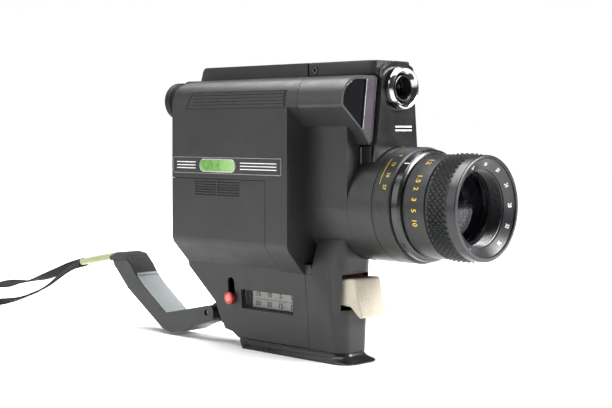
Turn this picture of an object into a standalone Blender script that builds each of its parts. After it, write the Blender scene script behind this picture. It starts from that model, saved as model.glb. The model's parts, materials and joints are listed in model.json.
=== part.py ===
"""Hand-held cine camera of the 1970s, as an assembly of separate pieces.

The design is drawn in millimetres in the lens frame: X = 0 and Z = 0 on the lens axis, Y = 0 at the
front rim of the lens, +Y to the back, +Z up, +X to the operator's left. The empty
"cine_camera_origin" puts that frame into the camera's own one, whose origin is at the middle of the
footprint, on the surface that the base stands on.
"""
import math

import bmesh
import bpy
from mathutils import Matrix, Vector

MM = 0.001
GAP = 0.3                          # clearance between neighbouring pieces
WIDE_RADIUS = 5.5                  # rounded corners above this get finer arcs

# where the lens frame's origin sits in the camera's own frame
LENS_ORIGIN = (7.3, -153.66, 93.6)

# lens
LENS_R = 34.0                      # neck and zoom ring
FOCUS_R = 30.0                     # focusing mount
LENS_TUNNEL_R = 22.0               # opening in front of the glass
BARREL_R = 26.2                    # fixed tube that carries the glass
BARREL_BORE_R = 20.0
BEZEL_END = 6.3                    # end of the front ring
FOCUS_END = 37.0
INDEX_END = 43.2
ZOOM_END = 56.5
NECK_END = 75.0                    # front of the body

# body: the upright slab behind the lens
SIDE_X = -34.0                     # its side plane, which is also the neck's tangent
SPLIT_X = -9.0                     # where the side shell meets the film chassis
CHASSIS_X = 13.0
DOOR_X = 16.3
BODY_BACK = 222.0
BODY_TOP = 75.5
BODY_BOTTOM = -36.0
UNDERSIDE_BACK = 109.5             # before this the side shell's underside is round, like the neck
CHASSIS_LOW = -33.2                # and the chassis's underside is level with it
WALL = 2.2

# battery compartment, the bulge on the operator's right
BULGE_X = -48.6
BULGE_FRONT = 109.5
BULGE_BACK = 213.7
SHOULDER_R = 15.5
BULGE_CREASE = -26.7               # where the side turns into the lower slant
BULGE_BOTTOM = -42.3
CREASE_R = 8.0
BULGE_BACK_R = 10.0                # rounding of its top rear corner

# battery door in the bulge
DOOR_TOP = 13.2
DOOR_FRONT = 128.2
DOOR_SKIN = 1.8
DOOR_HINGE = (-34.9, 171.0, -41.0)

# battery cells, size AA
CELL_R = 7.1
CELL_LENGTH = 50.0
CELL_X = -38.9
CELL_BOTTOM = -24.8
CELL_COUNT = 4
CELL_PITCH = 17.0
CELL_FIRST_Y = 145.0

# exposure-meter housing beside the front
METER_FRONT = 66.0
SEAM_Y = 101.0                     # its rear seam at the outermost point
SEAM_SLOPE = 0.385                 # the seam runs back towards the middle

# finder
FINDER_X = -1.5
FINDER_Z = 68.6
EYE_Z = 63.6
RIDGE_LEFT = -20.0
RIDGE_RIGHT = 15.0
RIDGE_TOP = 84.8
RIDGE_SPLIT = 119.7
PANEL_FRONT = 62.5
PANEL_BACK = 65.0

# grip
GRIP_MID = -17.0
GRIP_HALF = 17.0                   # half width at the top
GRIP_DRAFT = 4.8 / 51.2            # loss of half width for each millimetre down
GRIP_TOP = -36.3
GRIP_BOTTOM = -87.5
GRIP_FRONT = 82.5
GRIP_SEAM = 109.2
PILLAR_BACK = 103.8                # the cover's pillar rises between trigger and battery bulge
PILLAR_FOOT = -42.6
BASE_BOTTOM = -93.6
BASE_FRONT = 76.0
BASE_REAR = 167.8
BUSH_SPOT = (-18.5, 122.0)         # X, Y of the tripod bush

# trigger
TRIGGER_PIVOT = (-14.0, 92.0, -44.0)

# folding handle
HANDLE_PIVOT = (-18.0, 204.2, -75.2)
HANDLE_X = (-28.0, -8.0)

# mechanism, with every shaft parallel to the lens axis
SHUTTER_SHAFT = (-15.0, 0.0)       # X, Z
IDLER_SHAFT = (-17.5, -10.9)
MOTOR_SHAFT = (-15.9, -20.5)
TAKEUP_SHAFT = (146.5, -6.0)       # Y, Z of the cross shaft

# wrist strap: webbing 7 mm wide, drawn as a plain tube, in a loop that lies behind the handle
STRAP_R = 2.0
STRAP_ROUTE = (
    (-20.3, 351.6, -53.6), (-20.0, 364.1, -58.4), (-19.0, 380.7, -66.5), (-19.5, 396.9, -75.2),
    (-22.5, 409.5, -81.2), (-27.5, 423.0, -86.0), (-34.0, 437.5, -89.2), (-42.0, 454.0, -91.0),
    (-48.5, 471.0, -91.4), (-52.0, 490.0, -91.4), (-51.5, 509.0, -91.4), (-46.5, 526.0, -91.4),
    (-36.5, 539.0, -91.4), (-22.5, 545.5, -91.4), (-8.5, 541.5, -90.8), (0.0, 529.5, -89.0),
    (3.6, 512.0, -86.4), (2.0, 492.5, -83.4), (-2.0, 470.0, -80.2), (-6.0, 450.0, -77.4),
    (-9.0, 431.0, -74.3), (-11.6, 411.5, -69.9), (-13.4, 391.0, -64.0), (-14.8, 372.0, -58.2),
    (-15.7, 351.6, -53.2),
)
STRAP_SAMPLES = 2                  # tube points between two route points
SLEEVE_OUTLINE = ((307.9, -42.9), (307.9, -47.8), (330.0, -51.6), (350.0, -55.5), (351.0, -50.4),
                  (330.0, -46.5))   # Y, Z

MATERIALS = {
    # name: (colour, roughness, metallic)
    "body_plastic": ((0.055, 0.058, 0.056), 0.42, 0.0),
    "gloss_plastic": ((0.012, 0.012, 0.013), 0.12, 0.0),
    "black_plastic": ((0.01, 0.01, 0.01), 0.5, 0.0),
    "grey_plastic": ((0.22, 0.24, 0.24), 0.4, 0.0),
    "cream_plastic": ((0.62, 0.56, 0.44), 0.35, 0.0),
    "red_plastic": ((0.6, 0.03, 0.02), 0.35, 0.0),
    "lens_metal": ((0.018, 0.02, 0.019), 0.35, 0.6),
    "rubber": ((0.012, 0.012, 0.012), 0.75, 0.0),
    "chrome": ((0.8, 0.8, 0.82), 0.12, 1.0),
    "steel": ((0.5, 0.5, 0.5), 0.35, 1.0),
    "brass": ((0.7, 0.5, 0.2), 0.35, 1.0),
    "aluminium": ((0.6, 0.61, 0.62), 0.4, 1.0),
    "glass": ((0.25, 0.2, 0.35), 0.03, 0.0),
    "board": ((0.04, 0.2, 0.1), 0.5, 0.0),
    "cell_jacket": ((0.1, 0.1, 0.12), 0.35, 0.2),
    "scale_card": ((0.7, 0.7, 0.66), 0.5, 0.0),
    "webbing": ((0.02, 0.02, 0.022), 0.85, 0.0),
    "sleeve": ((0.66, 0.68, 0.42), 0.6, 0.0),
}


# ---------------------------------------------------------------- scene and objects

for old in list(bpy.data.objects):
    bpy.data.objects.remove(old)

camera_parts = bpy.data.collections.new("cine_camera")
cutters = bpy.data.collections.new("cutters")
bpy.context.scene.collection.children.link(camera_parts)
bpy.context.scene.collection.children.link(cutters)

origin = bpy.data.objects.new("cine_camera_origin", None)
origin.location = Vector(LENS_ORIGIN) * MM
camera_parts.objects.link(origin)


def material(name):
    found = bpy.data.materials.get(name)
    if found:
        return found
    colour, roughness, metallic = MATERIALS[name]
    made = bpy.data.materials.new(name)
    made.use_nodes = True
    shader = made.node_tree.nodes["Principled BSDF"]
    shader.inputs["Base Color"].default_value = (*colour, 1.0)
    shader.inputs["Roughness"].default_value = roughness
    shader.inputs["Metallic"].default_value = metallic
    return made


def place(name, mesh, finish=None, pivot=(0, 0, 0)):
    """An object whose mesh is in the lens frame, with its origin at pivot; no finish means a cutter."""
    centre = Vector(pivot) * MM
    mesh.transform(Matrix.Translation(-centre))
    made = bpy.data.objects.new(name, mesh)
    made.location = centre
    made.parent = origin
    if finish:
        mesh.materials.append(material(finish))
        mesh.shade_smooth()
        mesh.set_sharp_from_angle(angle=math.radians(35))
        camera_parts.objects.link(made)
    else:
        made.hide_render = True
        made.display_type = "WIRE"
        cutters.objects.link(made)
    return made


def boolean(target, tool, operation):
    step = target.modifiers.new(operation.lower() + "_" + tool.name, "BOOLEAN")
    step.operation = operation
    step.solver = "EXACT"
    step.object = tool


def cut(target, *tools):
    for tool in tools:
        boolean(target, tool, "DIFFERENCE")


def join(target, *tools):
    for tool in tools:
        boolean(target, tool, "UNION")


# ---------------------------------------------------------------- shapes

# rows of the turn from an outline's plane to the lens frame: along X the outline is (Y, Z),
# along Y it is (X, Z), and along Z it is (X, Y)
TURNS = {
    "X": Matrix(((0, 0, 1), (1, 0, 0), (0, 1, 0))),
    "Y": Matrix(((1, 0, 0), (0, 0, -1), (0, 1, 0))),
    "Z": Matrix.Identity(3),
}


def rounded(corners):
    """An outline from corners (u, v) or (u, v, radius), with the radii as arcs."""
    outline = []
    for index, corner in enumerate(corners):
        here = Vector(corner[:2])
        if len(corner) == 2:
            outline.append(here)
            continue
        before = (Vector(corners[index - 1][:2]) - here).normalized()
        after = (Vector(corners[(index + 1) % len(corners)][:2]) - here).normalized()
        half = before.angle(after) / 2
        radius = corner[2]
        centre = here + (before + after).normalized() * (radius / math.sin(half))
        start = here + before * (radius / math.tan(half)) - centre
        end = here + after * (radius / math.tan(half)) - centre
        sweep = start.angle_signed(end)
        steps = 8 if radius > WIDE_RADIUS else 4
        for step in range(steps + 1):
            turn = Matrix.Rotation(-sweep * step / steps, 2)
            outline.append(centre + turn @ start)
    return outline


def prism_mesh(name, corners, axis, span):
    """The filled outline, extruded along an axis from span[0] to span[1]."""
    flat = bpy.data.curves.new(name, "CURVE")
    flat.dimensions = "2D"
    flat.fill_mode = "BOTH"
    flat.extrude = (span[1] - span[0]) / 2 * MM
    outline = rounded(corners)
    spline = flat.splines.new("POLY")
    spline.points.add(len(outline) - 1)
    spline.use_cyclic_u = True
    for point, (u, v) in zip(spline.points, outline):
        point.co = (u * MM, v * MM, 0, 1)
    holder = bpy.data.objects.new(name, flat)
    bpy.context.scene.collection.objects.link(holder)
    bpy.context.view_layer.update()
    graph = bpy.context.evaluated_depsgraph_get()
    mesh = bpy.data.meshes.new_from_object(holder.evaluated_get(graph))
    bpy.data.objects.remove(holder)
    work = bmesh.new()
    work.from_mesh(mesh)
    bmesh.ops.remove_doubles(work, verts=work.verts, dist=0.000005)
    bmesh.ops.recalc_face_normals(work, faces=work.faces)
    work.to_mesh(mesh)
    work.free()
    middle = (span[0] + span[1]) / 2 * MM
    along = {"X": (middle, 0, 0), "Y": (0, middle, 0), "Z": (0, 0, middle)}[axis]
    mesh.transform(Matrix.Translation(along) @ TURNS[axis].to_4x4())
    return mesh


def prism(name, corners, axis, span, finish=None, pivot=(0, 0, 0)):
    return place(name, prism_mesh(name, corners, axis, span), finish, pivot)


def box(name, x, y, z, finish=None, pivot=(0, 0, 0), edge=0.0):
    """A box between pairs of limits, with edge as the width of its bevels."""
    mesh = bpy.data.meshes.new(name)
    work = bmesh.new()
    bmesh.ops.create_cube(work, size=1.0)
    size = Vector((x[1] - x[0], y[1] - y[0], z[1] - z[0])) * MM
    middle = Vector((x[0] + x[1], y[0] + y[1], z[0] + z[1])) / 2 * MM
    bmesh.ops.scale(work, vec=size, verts=work.verts)
    bmesh.ops.translate(work, vec=middle, verts=work.verts)
    work.to_mesh(mesh)
    work.free()
    made = place(name, mesh, finish, pivot)
    if edge:
        bevel(made, edge)
    return made


def bevel(target, width, segments=2, angle=40):
    step = target.modifiers.new("edges", "BEVEL")
    step.width = width * MM
    step.segments = segments
    step.limit_method = "ANGLE"
    step.angle_limit = math.radians(angle)
    step.use_clamp_overlap = True


def cylinder(name, axis, centre, radius, span, finish=None, pivot=None, sides=32, end_radius=None):
    """A round bar along an axis; centre holds the two other coordinates in X, Y, Z order."""
    mesh = bpy.data.meshes.new(name)
    work = bmesh.new()
    top = radius if end_radius is None else end_radius
    bmesh.ops.create_cone(work, cap_ends=True, segments=sides, radius1=radius * MM, radius2=top * MM,
                          depth=(span[1] - span[0]) * MM)
    work.to_mesh(mesh)
    work.free()
    middle = (span[0] + span[1]) / 2
    if axis == "X":
        spot = (middle, centre[0], centre[1])
        turn = Matrix.Rotation(math.radians(90), 4, "Y")
    elif axis == "Y":
        spot = (centre[0], middle, centre[1])
        turn = Matrix.Rotation(math.radians(-90), 4, "X")
    else:
        spot = (centre[0], centre[1], middle)
        turn = Matrix.Identity(4)
    mesh.transform(Matrix.Translation(Vector(spot) * MM) @ turn)
    return place(name, mesh, finish, pivot or (0, 0, 0))


def turned(name, profile, centre, finish=None, sides=48):
    """A solid turned about an axis along Y; profile is (radius, Y) in order, centre is (X, Z)."""
    doubled_area = 0.0
    for (r1, y1), (r2, y2) in zip(profile, profile[1:] + profile[:1]):
        doubled_area += r1 * y2 - r2 * y1
    points = profile if doubled_area < 0 else profile[::-1]
    mesh = bpy.data.meshes.new(name)
    work = bmesh.new()
    made_points = [work.verts.new((r * MM, 0, y * MM)) for r, y in points]
    for first, second in zip(made_points, made_points[1:] + made_points[:1]):
        on_axis = first.co.x < 1e-9 and second.co.x < 1e-9
        if not on_axis:
            work.edges.new((first, second))
    work.to_mesh(mesh)
    work.free()
    made = place(name, mesh, finish, (0, 0, 0))
    made.location = Vector((centre[0], 0, centre[1])) * MM
    made.rotation_euler = (math.radians(-90), 0, 0)
    spin = made.modifiers.new("turn", "SCREW")
    spin.axis = "Z"
    spin.steps = sides
    spin.render_steps = sides
    spin.use_merge_vertices = True
    spin.merge_threshold = 0.00001
    return made


def gear_outline(centre, tip, root, teeth):
    """Corners of a spur wheel: each tooth has two tip and two root corners."""
    corners = []
    for tooth in range(teeth):
        for share, radius in ((0.0, root), (0.3, tip), (0.5, tip), (0.8, root)):
            turn = 2 * math.pi * (tooth + share) / teeth
            corners.append((centre[0] + radius * math.cos(turn), centre[1] + radius * math.sin(turn)))
    return corners


def draft(made, top, bottom_half_loss):
    """Narrow a grip piece evenly downwards, about the grip's middle plane."""
    for vertex in made.data.vertices:
        depth = top * MM - (vertex.co.z + made.location.z)
        scale = 1 - bottom_half_loss * depth / (GRIP_HALF * MM)
        x = vertex.co.x + made.location.x - GRIP_MID * MM
        vertex.co.x = x * scale + GRIP_MID * MM - made.location.x


def smooth_route(corners, samples):
    """Points of a smooth curve through the corners (Catmull-Rom)."""
    spots = [Vector(corner) for corner in corners]
    spots = [2 * spots[0] - spots[1]] + spots + [2 * spots[-1] - spots[-2]]
    route = []
    for a, b, c, d in zip(spots, spots[1:], spots[2:], spots[3:]):
        for step in range(samples):
            t = step / samples
            route.append(0.5 * (2 * b + (c - a) * t + (2 * a - 5 * b + 4 * c - d) * t * t
                                + (3 * b - a - 3 * c + d) * t * t * t))
    route.append(spots[-2])
    return route


def grip_side(z):
    """X of the grip's right-hand side plane at height z."""
    return GRIP_MID - GRIP_HALF + (GRIP_TOP - z) * GRIP_DRAFT


def seam(x):
    """Y of the oblique seam behind the meter housing."""
    return SEAM_Y + SEAM_SLOPE * (x - BULGE_X)


# ---------------------------------------------------------------- body

def bulge_corners(inset, bottom_x):
    """Section of the battery compartment, all faces moved inwards by inset."""
    slant = inset * 1.5
    crease_radius = CREASE_R - inset
    inner_x = SIDE_X - 0.3 - inset / 2
    return [
        (bottom_x, BODY_TOP - inset),
        (BULGE_X + inset, BODY_TOP - inset, SHOULDER_R - inset),
        (BULGE_X + inset, BULGE_CREASE + slant * 0.3, crease_radius),
        (inner_x, BULGE_BOTTOM + slant),
        (inner_x, BODY_BOTTOM + 1.0 + slant),
        (bottom_x, BODY_BOTTOM + 1.0 + slant),
    ]


def round_underside(name, radius, back):
    """Cutter for what lies below a cylinder about the lens axis, before back."""
    below = box(name, (-60, SPLIT_X + 1), (60, back), (-60, 0))
    kept = cylinder(name + "_kept", "Y", (0, 0), radius, (50, back + 5), sides=96)
    cut(below, kept)
    return below


def make_side_shell():
    """Right-hand shell: slab, battery bulge, shoulder and the neck that carries the lens."""
    shell = prism("side_shell", [
        (NECK_END, BODY_TOP), (NECK_END, BODY_BOTTOM), (BODY_BACK, BODY_BOTTOM, 3.0),
        (BODY_BACK, BODY_TOP, 8.0),
    ], "X", (SIDE_X, SPLIT_X), "body_plastic")
    bulge = prism("bulge_form", bulge_corners(0.02, SIDE_X + 2), "Y", (96, BULGE_BACK))
    under_shoulder = prism("under_shoulder", [
        (SIDE_X - 0.03, 45.7), (BULGE_X, 57.6), (-60, 66.9), (-60, -60), (-30, -60), (-30, -1),
        (SIDE_X - 0.03, -1),
    ], "Y", (90, BULGE_FRONT))
    bulge_back = prism("bulge_back", [
        (BULGE_BACK, -70), (BULGE_BACK, BODY_TOP, BULGE_BACK_R), (60, BODY_TOP), (60, -70)], "X",
        (-60, SIDE_X + 5))
    before_seam = prism("before_seam", [
        (-60, 90), (-20, 90), (-20, seam(-20) + GAP / 2), (-60, seam(-60) + GAP / 2)], "Z", (20, 90))
    meter_bed = prism("meter_bed", [
        (-60, 70), (-20, 70), (-20, seam(-20) + GAP / 2), (-60, seam(-60) + GAP / 2)], "Z",
        (67.7, 90))
    neck = cylinder("neck_form", "Y", (0, 0), LENS_R - 0.05, (ZOOM_END + GAP, NECK_END + 1), sides=64)
    neck_rear = box("neck_rear", (SPLIT_X - 0.2, 50), (NECK_END - 0.02, 90), (-50, 50))
    neck_bore = cylinder("neck_bore", "Y", (0, 0), 29.0, (50, 72.6), sides=48)
    barrel_hole = cylinder("barrel_hole", "Y", (0, 0), BARREL_R + GAP, (60, NECK_END + 5), sides=48)
    cavity = box("mechanism_bay", (SIDE_X + WALL, SPLIT_X + 1),
                 (NECK_END + WALL, BODY_BACK - WALL), (BODY_BOTTOM + WALL, 66.0))
    cut(cavity, round_underside("bay_underside", LENS_R - WALL, UNDERSIDE_BACK + WALL))
    upper_cavity = box("mechanism_bay_top", (SIDE_X + WALL + 0.2, SPLIT_X + 1),
                       (116, BODY_BACK - 9), (60, BODY_TOP - WALL - 0.3))
    bulge_bay = prism("bulge_bay", bulge_corners(WALL, SIDE_X + 3), "Y",
                      (BULGE_FRONT + WALL, BULGE_BACK - WALL))
    inner_x = BULGE_X + DOOR_SKIN + 0.5
    door_zone = prism("door_zone", [
        (-60, DOOR_TOP + GAP), (inner_x, DOOR_TOP + GAP), (inner_x, BULGE_CREASE + 1.2),
        (SIDE_X - 0.2, BULGE_BOTTOM + 3.5), (SIDE_X - 0.2, -60), (-60, -60),
    ], "Y", (DOOR_FRONT - GAP, BULGE_BACK + 5))
    boolean(bulge, bulge_back, "INTERSECT")
    cut(bulge, under_shoulder, before_seam)
    cut(neck, neck_rear)
    cut(shell, round_underside("shell_underside", LENS_R + 0.05, UNDERSIDE_BACK))
    join(shell, bulge)
    cut(shell, meter_bed)
    join(shell, neck)
    cut(shell, neck_bore, barrel_hole, cavity, upper_cavity, bulge_bay, door_zone)
    shutter_slot = cylinder("shutter_slot_side", "Y", SHUTTER_SHAFT, 18.2, (NECK_END + 2, 81))
    cut(shell, shutter_slot)


def make_film_chassis():
    """Die-cast left half: film bay, finder tunnel above it, lens aperture in its front wall."""
    chassis = prism("film_chassis", [
        (NECK_END + GAP, BODY_TOP), (NECK_END + GAP, CHASSIS_LOW), (UNDERSIDE_BACK, CHASSIS_LOW),
        (UNDERSIDE_BACK, BODY_BOTTOM), (BODY_BACK, BODY_BOTTOM, 3.0), (BODY_BACK, BODY_TOP, 8.0),
    ], "X", (SPLIT_X + GAP, CHASSIS_X), "body_plastic")
    film_bay = box("film_bay", (SPLIT_X + 2.3, CHASSIS_X + 5), (84, 214), (-31, 53))
    finder_bay = box("finder_bay", (SPLIT_X + 2.3, CHASSIS_X - 2), (79, 218), (56, 73))
    front_hole = cylinder("finder_front_hole", "Y", (FINDER_X, 66.5), 5.8, (70, 80), sides=24)
    eye_hole = cylinder("eye_hole", "Y", (FINDER_X, EYE_Z), 7.2, (215, 230), sides=32)
    aperture = cylinder("light_hole", "Y", (0, 0), 6.0, (70, 86), sides=24)
    slot = cylinder("shutter_slot", "Y", SHUTTER_SHAFT, 18.6, (77.0, 80.5), sides=40)
    knuckle_room = cylinder("knuckle_room", "Z", (15.0, 219.5), 2.9, (-21, 46), sides=24)
    lugs = [cylinder("hinge_lug_low", "Z", (15.0, 219.5), 2.3, (-30, -20.6), sides=24),
            cylinder("hinge_lug_high", "Z", (15.0, 219.5), 2.3, (45.6, 55), sides=24)]
    pin_hole = cylinder("door_pin_hole", "Z", (15.0, 219.5), 1.3, (-40, 60), sides=16)
    spindle_hole = cylinder("spindle_hole", "X", TAKEUP_SHAFT, 2.4, (-12, 0), sides=24)
    cut(chassis, film_bay, finder_bay, front_hole, eye_hole, aperture, slot, knuckle_room)
    join(chassis, *lugs)
    cut(chassis, pin_hole, spindle_hole)


def make_film_door():
    """Film door on the operator's left, hinged at the back, with its pin and sliding catch."""
    hinge = (15.0, 219.5, 12.5)
    door = prism("film_door", [
        (80.3, -32.8, 3.0), (216.0, -32.8, 3.0), (216.0, 70.0, 3.0), (80.3, 70.0, 3.0),
    ], "X", (CHASSIS_X + GAP, DOOR_X), "body_plastic", hinge)
    leaf = box("door_leaf", (CHASSIS_X + 0.9, DOOR_X - 0.4), (214, 219), (-20, 45))
    knuckle = cylinder("door_knuckle", "Z", (15.0, 219.5), 2.3, (-20, 45), sides=24)
    bore = cylinder("door_knuckle_bore", "Z", (15.0, 219.5), 1.3, (-25, 50), sides=16)
    catch_bed = box("catch_bed", (DOOR_X - 1.0, DOOR_X + 3), (84.5, 95.5), (0, 34))
    view_slot = prism("cassette_view", [(128, 8, 2), (158, 8, 2), (158, 24, 2), (128, 24, 2)],
                      "X", (10, 20))
    join(door, leaf, knuckle)
    cut(door, bore, catch_bed, view_slot)
    cylinder("film_door_pin", "Z", (15.0, 219.5), 1.0, (-30, 55), "steel", sides=16)
    box("film_door_catch", (DOOR_X - 0.7, DOOR_X + 1.6), (85.5, 94.5), (2, 18), "gloss_plastic",
        (DOOR_X, 90, 10), edge=0.6)


def make_top_cover():
    """The finder ridge along the top, in two pieces, and the screw at their joint."""
    rear = prism("top_cover_rear", [
        (RIDGE_SPLIT + GAP / 2, BODY_TOP + GAP), (218.5, BODY_TOP + GAP), (215.5, RIDGE_TOP, 4.0),
        (RIDGE_SPLIT + GAP / 2, RIDGE_TOP),
    ], "X", (RIDGE_LEFT, RIDGE_RIGHT), "body_plastic")
    hollow = box("ridge_hollow", (RIDGE_LEFT + 2, RIDGE_RIGHT - 2), (RIDGE_SPLIT + 2, 210), (70, 82.8))
    bevel(rear, 1.6)
    cut(rear, hollow)
    front = prism("top_cover_front", [
        (RIDGE_LEFT, RIDGE_SPLIT - GAP / 2), (RIDGE_LEFT, 71.0), (-16.8, PANEL_BACK + GAP),
        (11.5, PANEL_BACK + GAP), (RIDGE_RIGHT, 71.0), (RIDGE_RIGHT, RIDGE_SPLIT - GAP / 2),
    ], "Z", (BODY_TOP + GAP, RIDGE_TOP), "body_plastic")
    front_hollow = box("ridge_front_hollow", (RIDGE_LEFT + 7, RIDGE_RIGHT - 2), (70, 110), (70, 82.8))
    crown = prism("crown_trim", [(-24, 90), (-24, 83.6), (-16.5, 79.9), (-9, 83.4), (-3, 84.4),
                                 (4, 83.8), (11, 80.9), (20, 80.9), (20, 90)], "Y", (60, 66.5))
    screw_bed = cylinder("screw_bed", "X", (113.7, 80.0), 2.7, (-25, -17.0), sides=24)
    bevel(front, 1.2)
    cut(front, front_hollow, crown, screw_bed)
    screw = cylinder("top_cover_screw", "X", (113.7, 80.0), 2.3, (-20.3, -17.4), "steel", sides=20)
    for index, turn in enumerate((35, 125)):
        slot = box("screw_cross_%d" % index, (-21.0, -19.3), (-1.6, 1.6), (-0.35, 0.35))
        slot.data.transform(Matrix.Rotation(math.radians(turn), 4, "X"))
        slot.location = Vector((0, 113.7, 80.0)) * MM
        cut(screw, slot)


def meter_corners(inset):
    """Front section of the meter housing: rounded outside, slanting underside, straight inside."""
    return [
        (-18.1 - inset, BODY_TOP - inset),
        (BULGE_X + inset, BODY_TOP - inset, SHOULDER_R - inset),
        (BULGE_X + inset, 57.6 + inset * 0.3, 3.0 - inset * 0.3),
        (-31.0, 43.3 + inset * 1.35, 3.0),
        (-25.0 + inset * 0.2, 35.6 + inset * 1.7),
        (-22.8 - inset, 35.2 + inset * 1.7),
    ]


def make_meter_housing():
    """Light-meter housing beside the front, with a dark window over its cell."""
    housing = prism("meter_housing", meter_corners(0), "Y", (METER_FRONT, 118), "body_plastic")
    slab_room = box("meter_slab_room", (SIDE_X - GAP, 0), (NECK_END - GAP, 130), (20, 68))
    ridge_room = box("meter_ridge_room", (RIDGE_LEFT - GAP, 0), (NECK_END - GAP, 130), (60, 90))
    behind_seam = prism("behind_seam", [
        (-60, 130), (-60, seam(-60) - GAP / 2), (-10, seam(-10) - GAP / 2), (-10, 130)], "Z", (20, 90))
    window_corners = [
        (-27.2, BODY_TOP - 2.2), (BULGE_X + 1.6, BODY_TOP - 2.2, 12.8), (BULGE_X + 1.6, 58.2, 2.6),
        (-30.9, 44.6),
    ]
    recess = prism("meter_window_bed", window_corners, "Y", (60, 69.0))
    cell_room = prism("meter_cell_room", [
        (-29.5, 71.0), (-45.5, 71.0, 8), (-45.5, 61, 3), (-36.5, 53.5), (-31.5, 53.5),
    ], "Y", (68, 96))
    cut(housing, slab_room, ridge_room, behind_seam, recess, cell_room)
    prism("meter_window", [
        (-27.5, BODY_TOP - 2.6), (BULGE_X + 2.0, BODY_TOP - 2.6, 12.4), (BULGE_X + 2.0, 58.5, 2.4),
        (-31.1, 45.2),
    ], "Y", (66.7, 68.6), "gloss_plastic")


def make_front():
    """Front block and glossy front panel, with the finder's chrome bezel and its lens."""
    block = prism("front_block", [
        (-23.8, NECK_END - GAP), (-23.8, PANEL_BACK + GAP), (14.6, PANEL_BACK + GAP, 2.0),
        (CHASSIS_X, NECK_END - GAP),
    ], "Z", (16.0, BODY_TOP - 0.2), "gloss_plastic")
    meter_room = prism("meter_room", [
        (-17.3, 80), (-60, 80), (-60, 34.4), (-22.4, 34.4)], "Y", (60, 80))
    neck_room = cylinder("neck_room", "Y", (0, 0), LENS_R + GAP, (50, 80), sides=64)
    finder_hole = cylinder("finder_hole", "Y", (FINDER_X, FINDER_Z - 0.5), 5.4, (60, 80), sides=32)
    lens_seat = cylinder("finder_lens_seat", "Y", (FINDER_X, FINDER_Z - 0.5), 6.4, (60, 69.5), sides=32)
    cut(block, meter_room, neck_room, finder_hole, lens_seat)

    panel = prism("front_panel", [
        (-16.5, 79.9, 2.0), (-10.5, 83.2), (-3.0, 84.5), (5.0, 83.7), (11.2, 80.9, 2.0),
        (15.6, 28.0), (15.6, 10.0), (-23.6, 10.0), (-23.3, 25.0),
    ], "Y", (PANEL_FRONT, PANEL_BACK), "gloss_plastic")
    panel_neck_room = cylinder("panel_neck_room", "Y", (0, 0), LENS_R + GAP, (50, 80), sides=64)
    bezel_hole = cylinder("bezel_hole", "Y", (FINDER_X, FINDER_Z), 9.3, (55, 70), sides=40)
    cut(panel, panel_neck_room, bezel_hole)
    turned("finder_bezel", [
        (9.0, 58.6), (11.4, 57.6), (13.0, 59.6), (13.0, PANEL_FRONT - GAP), (9.0, PANEL_FRONT - GAP),
        (9.0, PANEL_BACK), (7.5, PANEL_BACK), (7.5, 60.8),
    ], (FINDER_X, FINDER_Z), "chrome", sides=32)
    turned("finder_front_lens", [(0, 65.6), (3.5, 65.9), (6.1, 66.6), (6.1, 69.1), (0, 69.1)],
           (FINDER_X, FINDER_Z - 0.5), "glass", sides=28)


def make_eyepiece():
    """Finder tube in its tunnel, and the eyepiece with its dioptre ring and rubber eyecup."""
    turned("finder_tube", [(5.2, 81), (5.2, 212), (4.4, 212), (4.4, 81)], (1.6, 66.5), "black_plastic",
           sides=20)
    centre = (FINDER_X, EYE_Z)
    turned("eyepiece_tube", [
        (6.9, 219.5), (6.9, BODY_BACK + 0.2), (9.4, BODY_BACK + GAP), (9.4, 234.0), (7.9, 234.3),
        (7.9, 254.0), (6.3, 254.0), (6.3, 219.5),
    ], centre, "grey_plastic", sides=24)
    turned("dioptre_ring", [(8.2, 236.0), (9.8, 236.0), (10.4, 238), (10.4, 250.5), (8.2, 250.5)],
           centre, "black_plastic", sides=28)
    turned("eyecup", [
        (8.2, 251.0), (10.2, 251.0), (12.7, 259.5), (12.7, 262.5), (11.7, 263.5), (9.8, 261.0),
        (7.2, 257.5), (7.2, 254.4), (8.2, 254.4),
    ], centre, "rubber", sides=28)
    turned("eyepiece_lens", [(0, 249.8), (6.0, 250.6), (6.0, 253.0), (0, 253.6)], centre, "glass",
           sides=24)


# ---------------------------------------------------------------- lens

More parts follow.
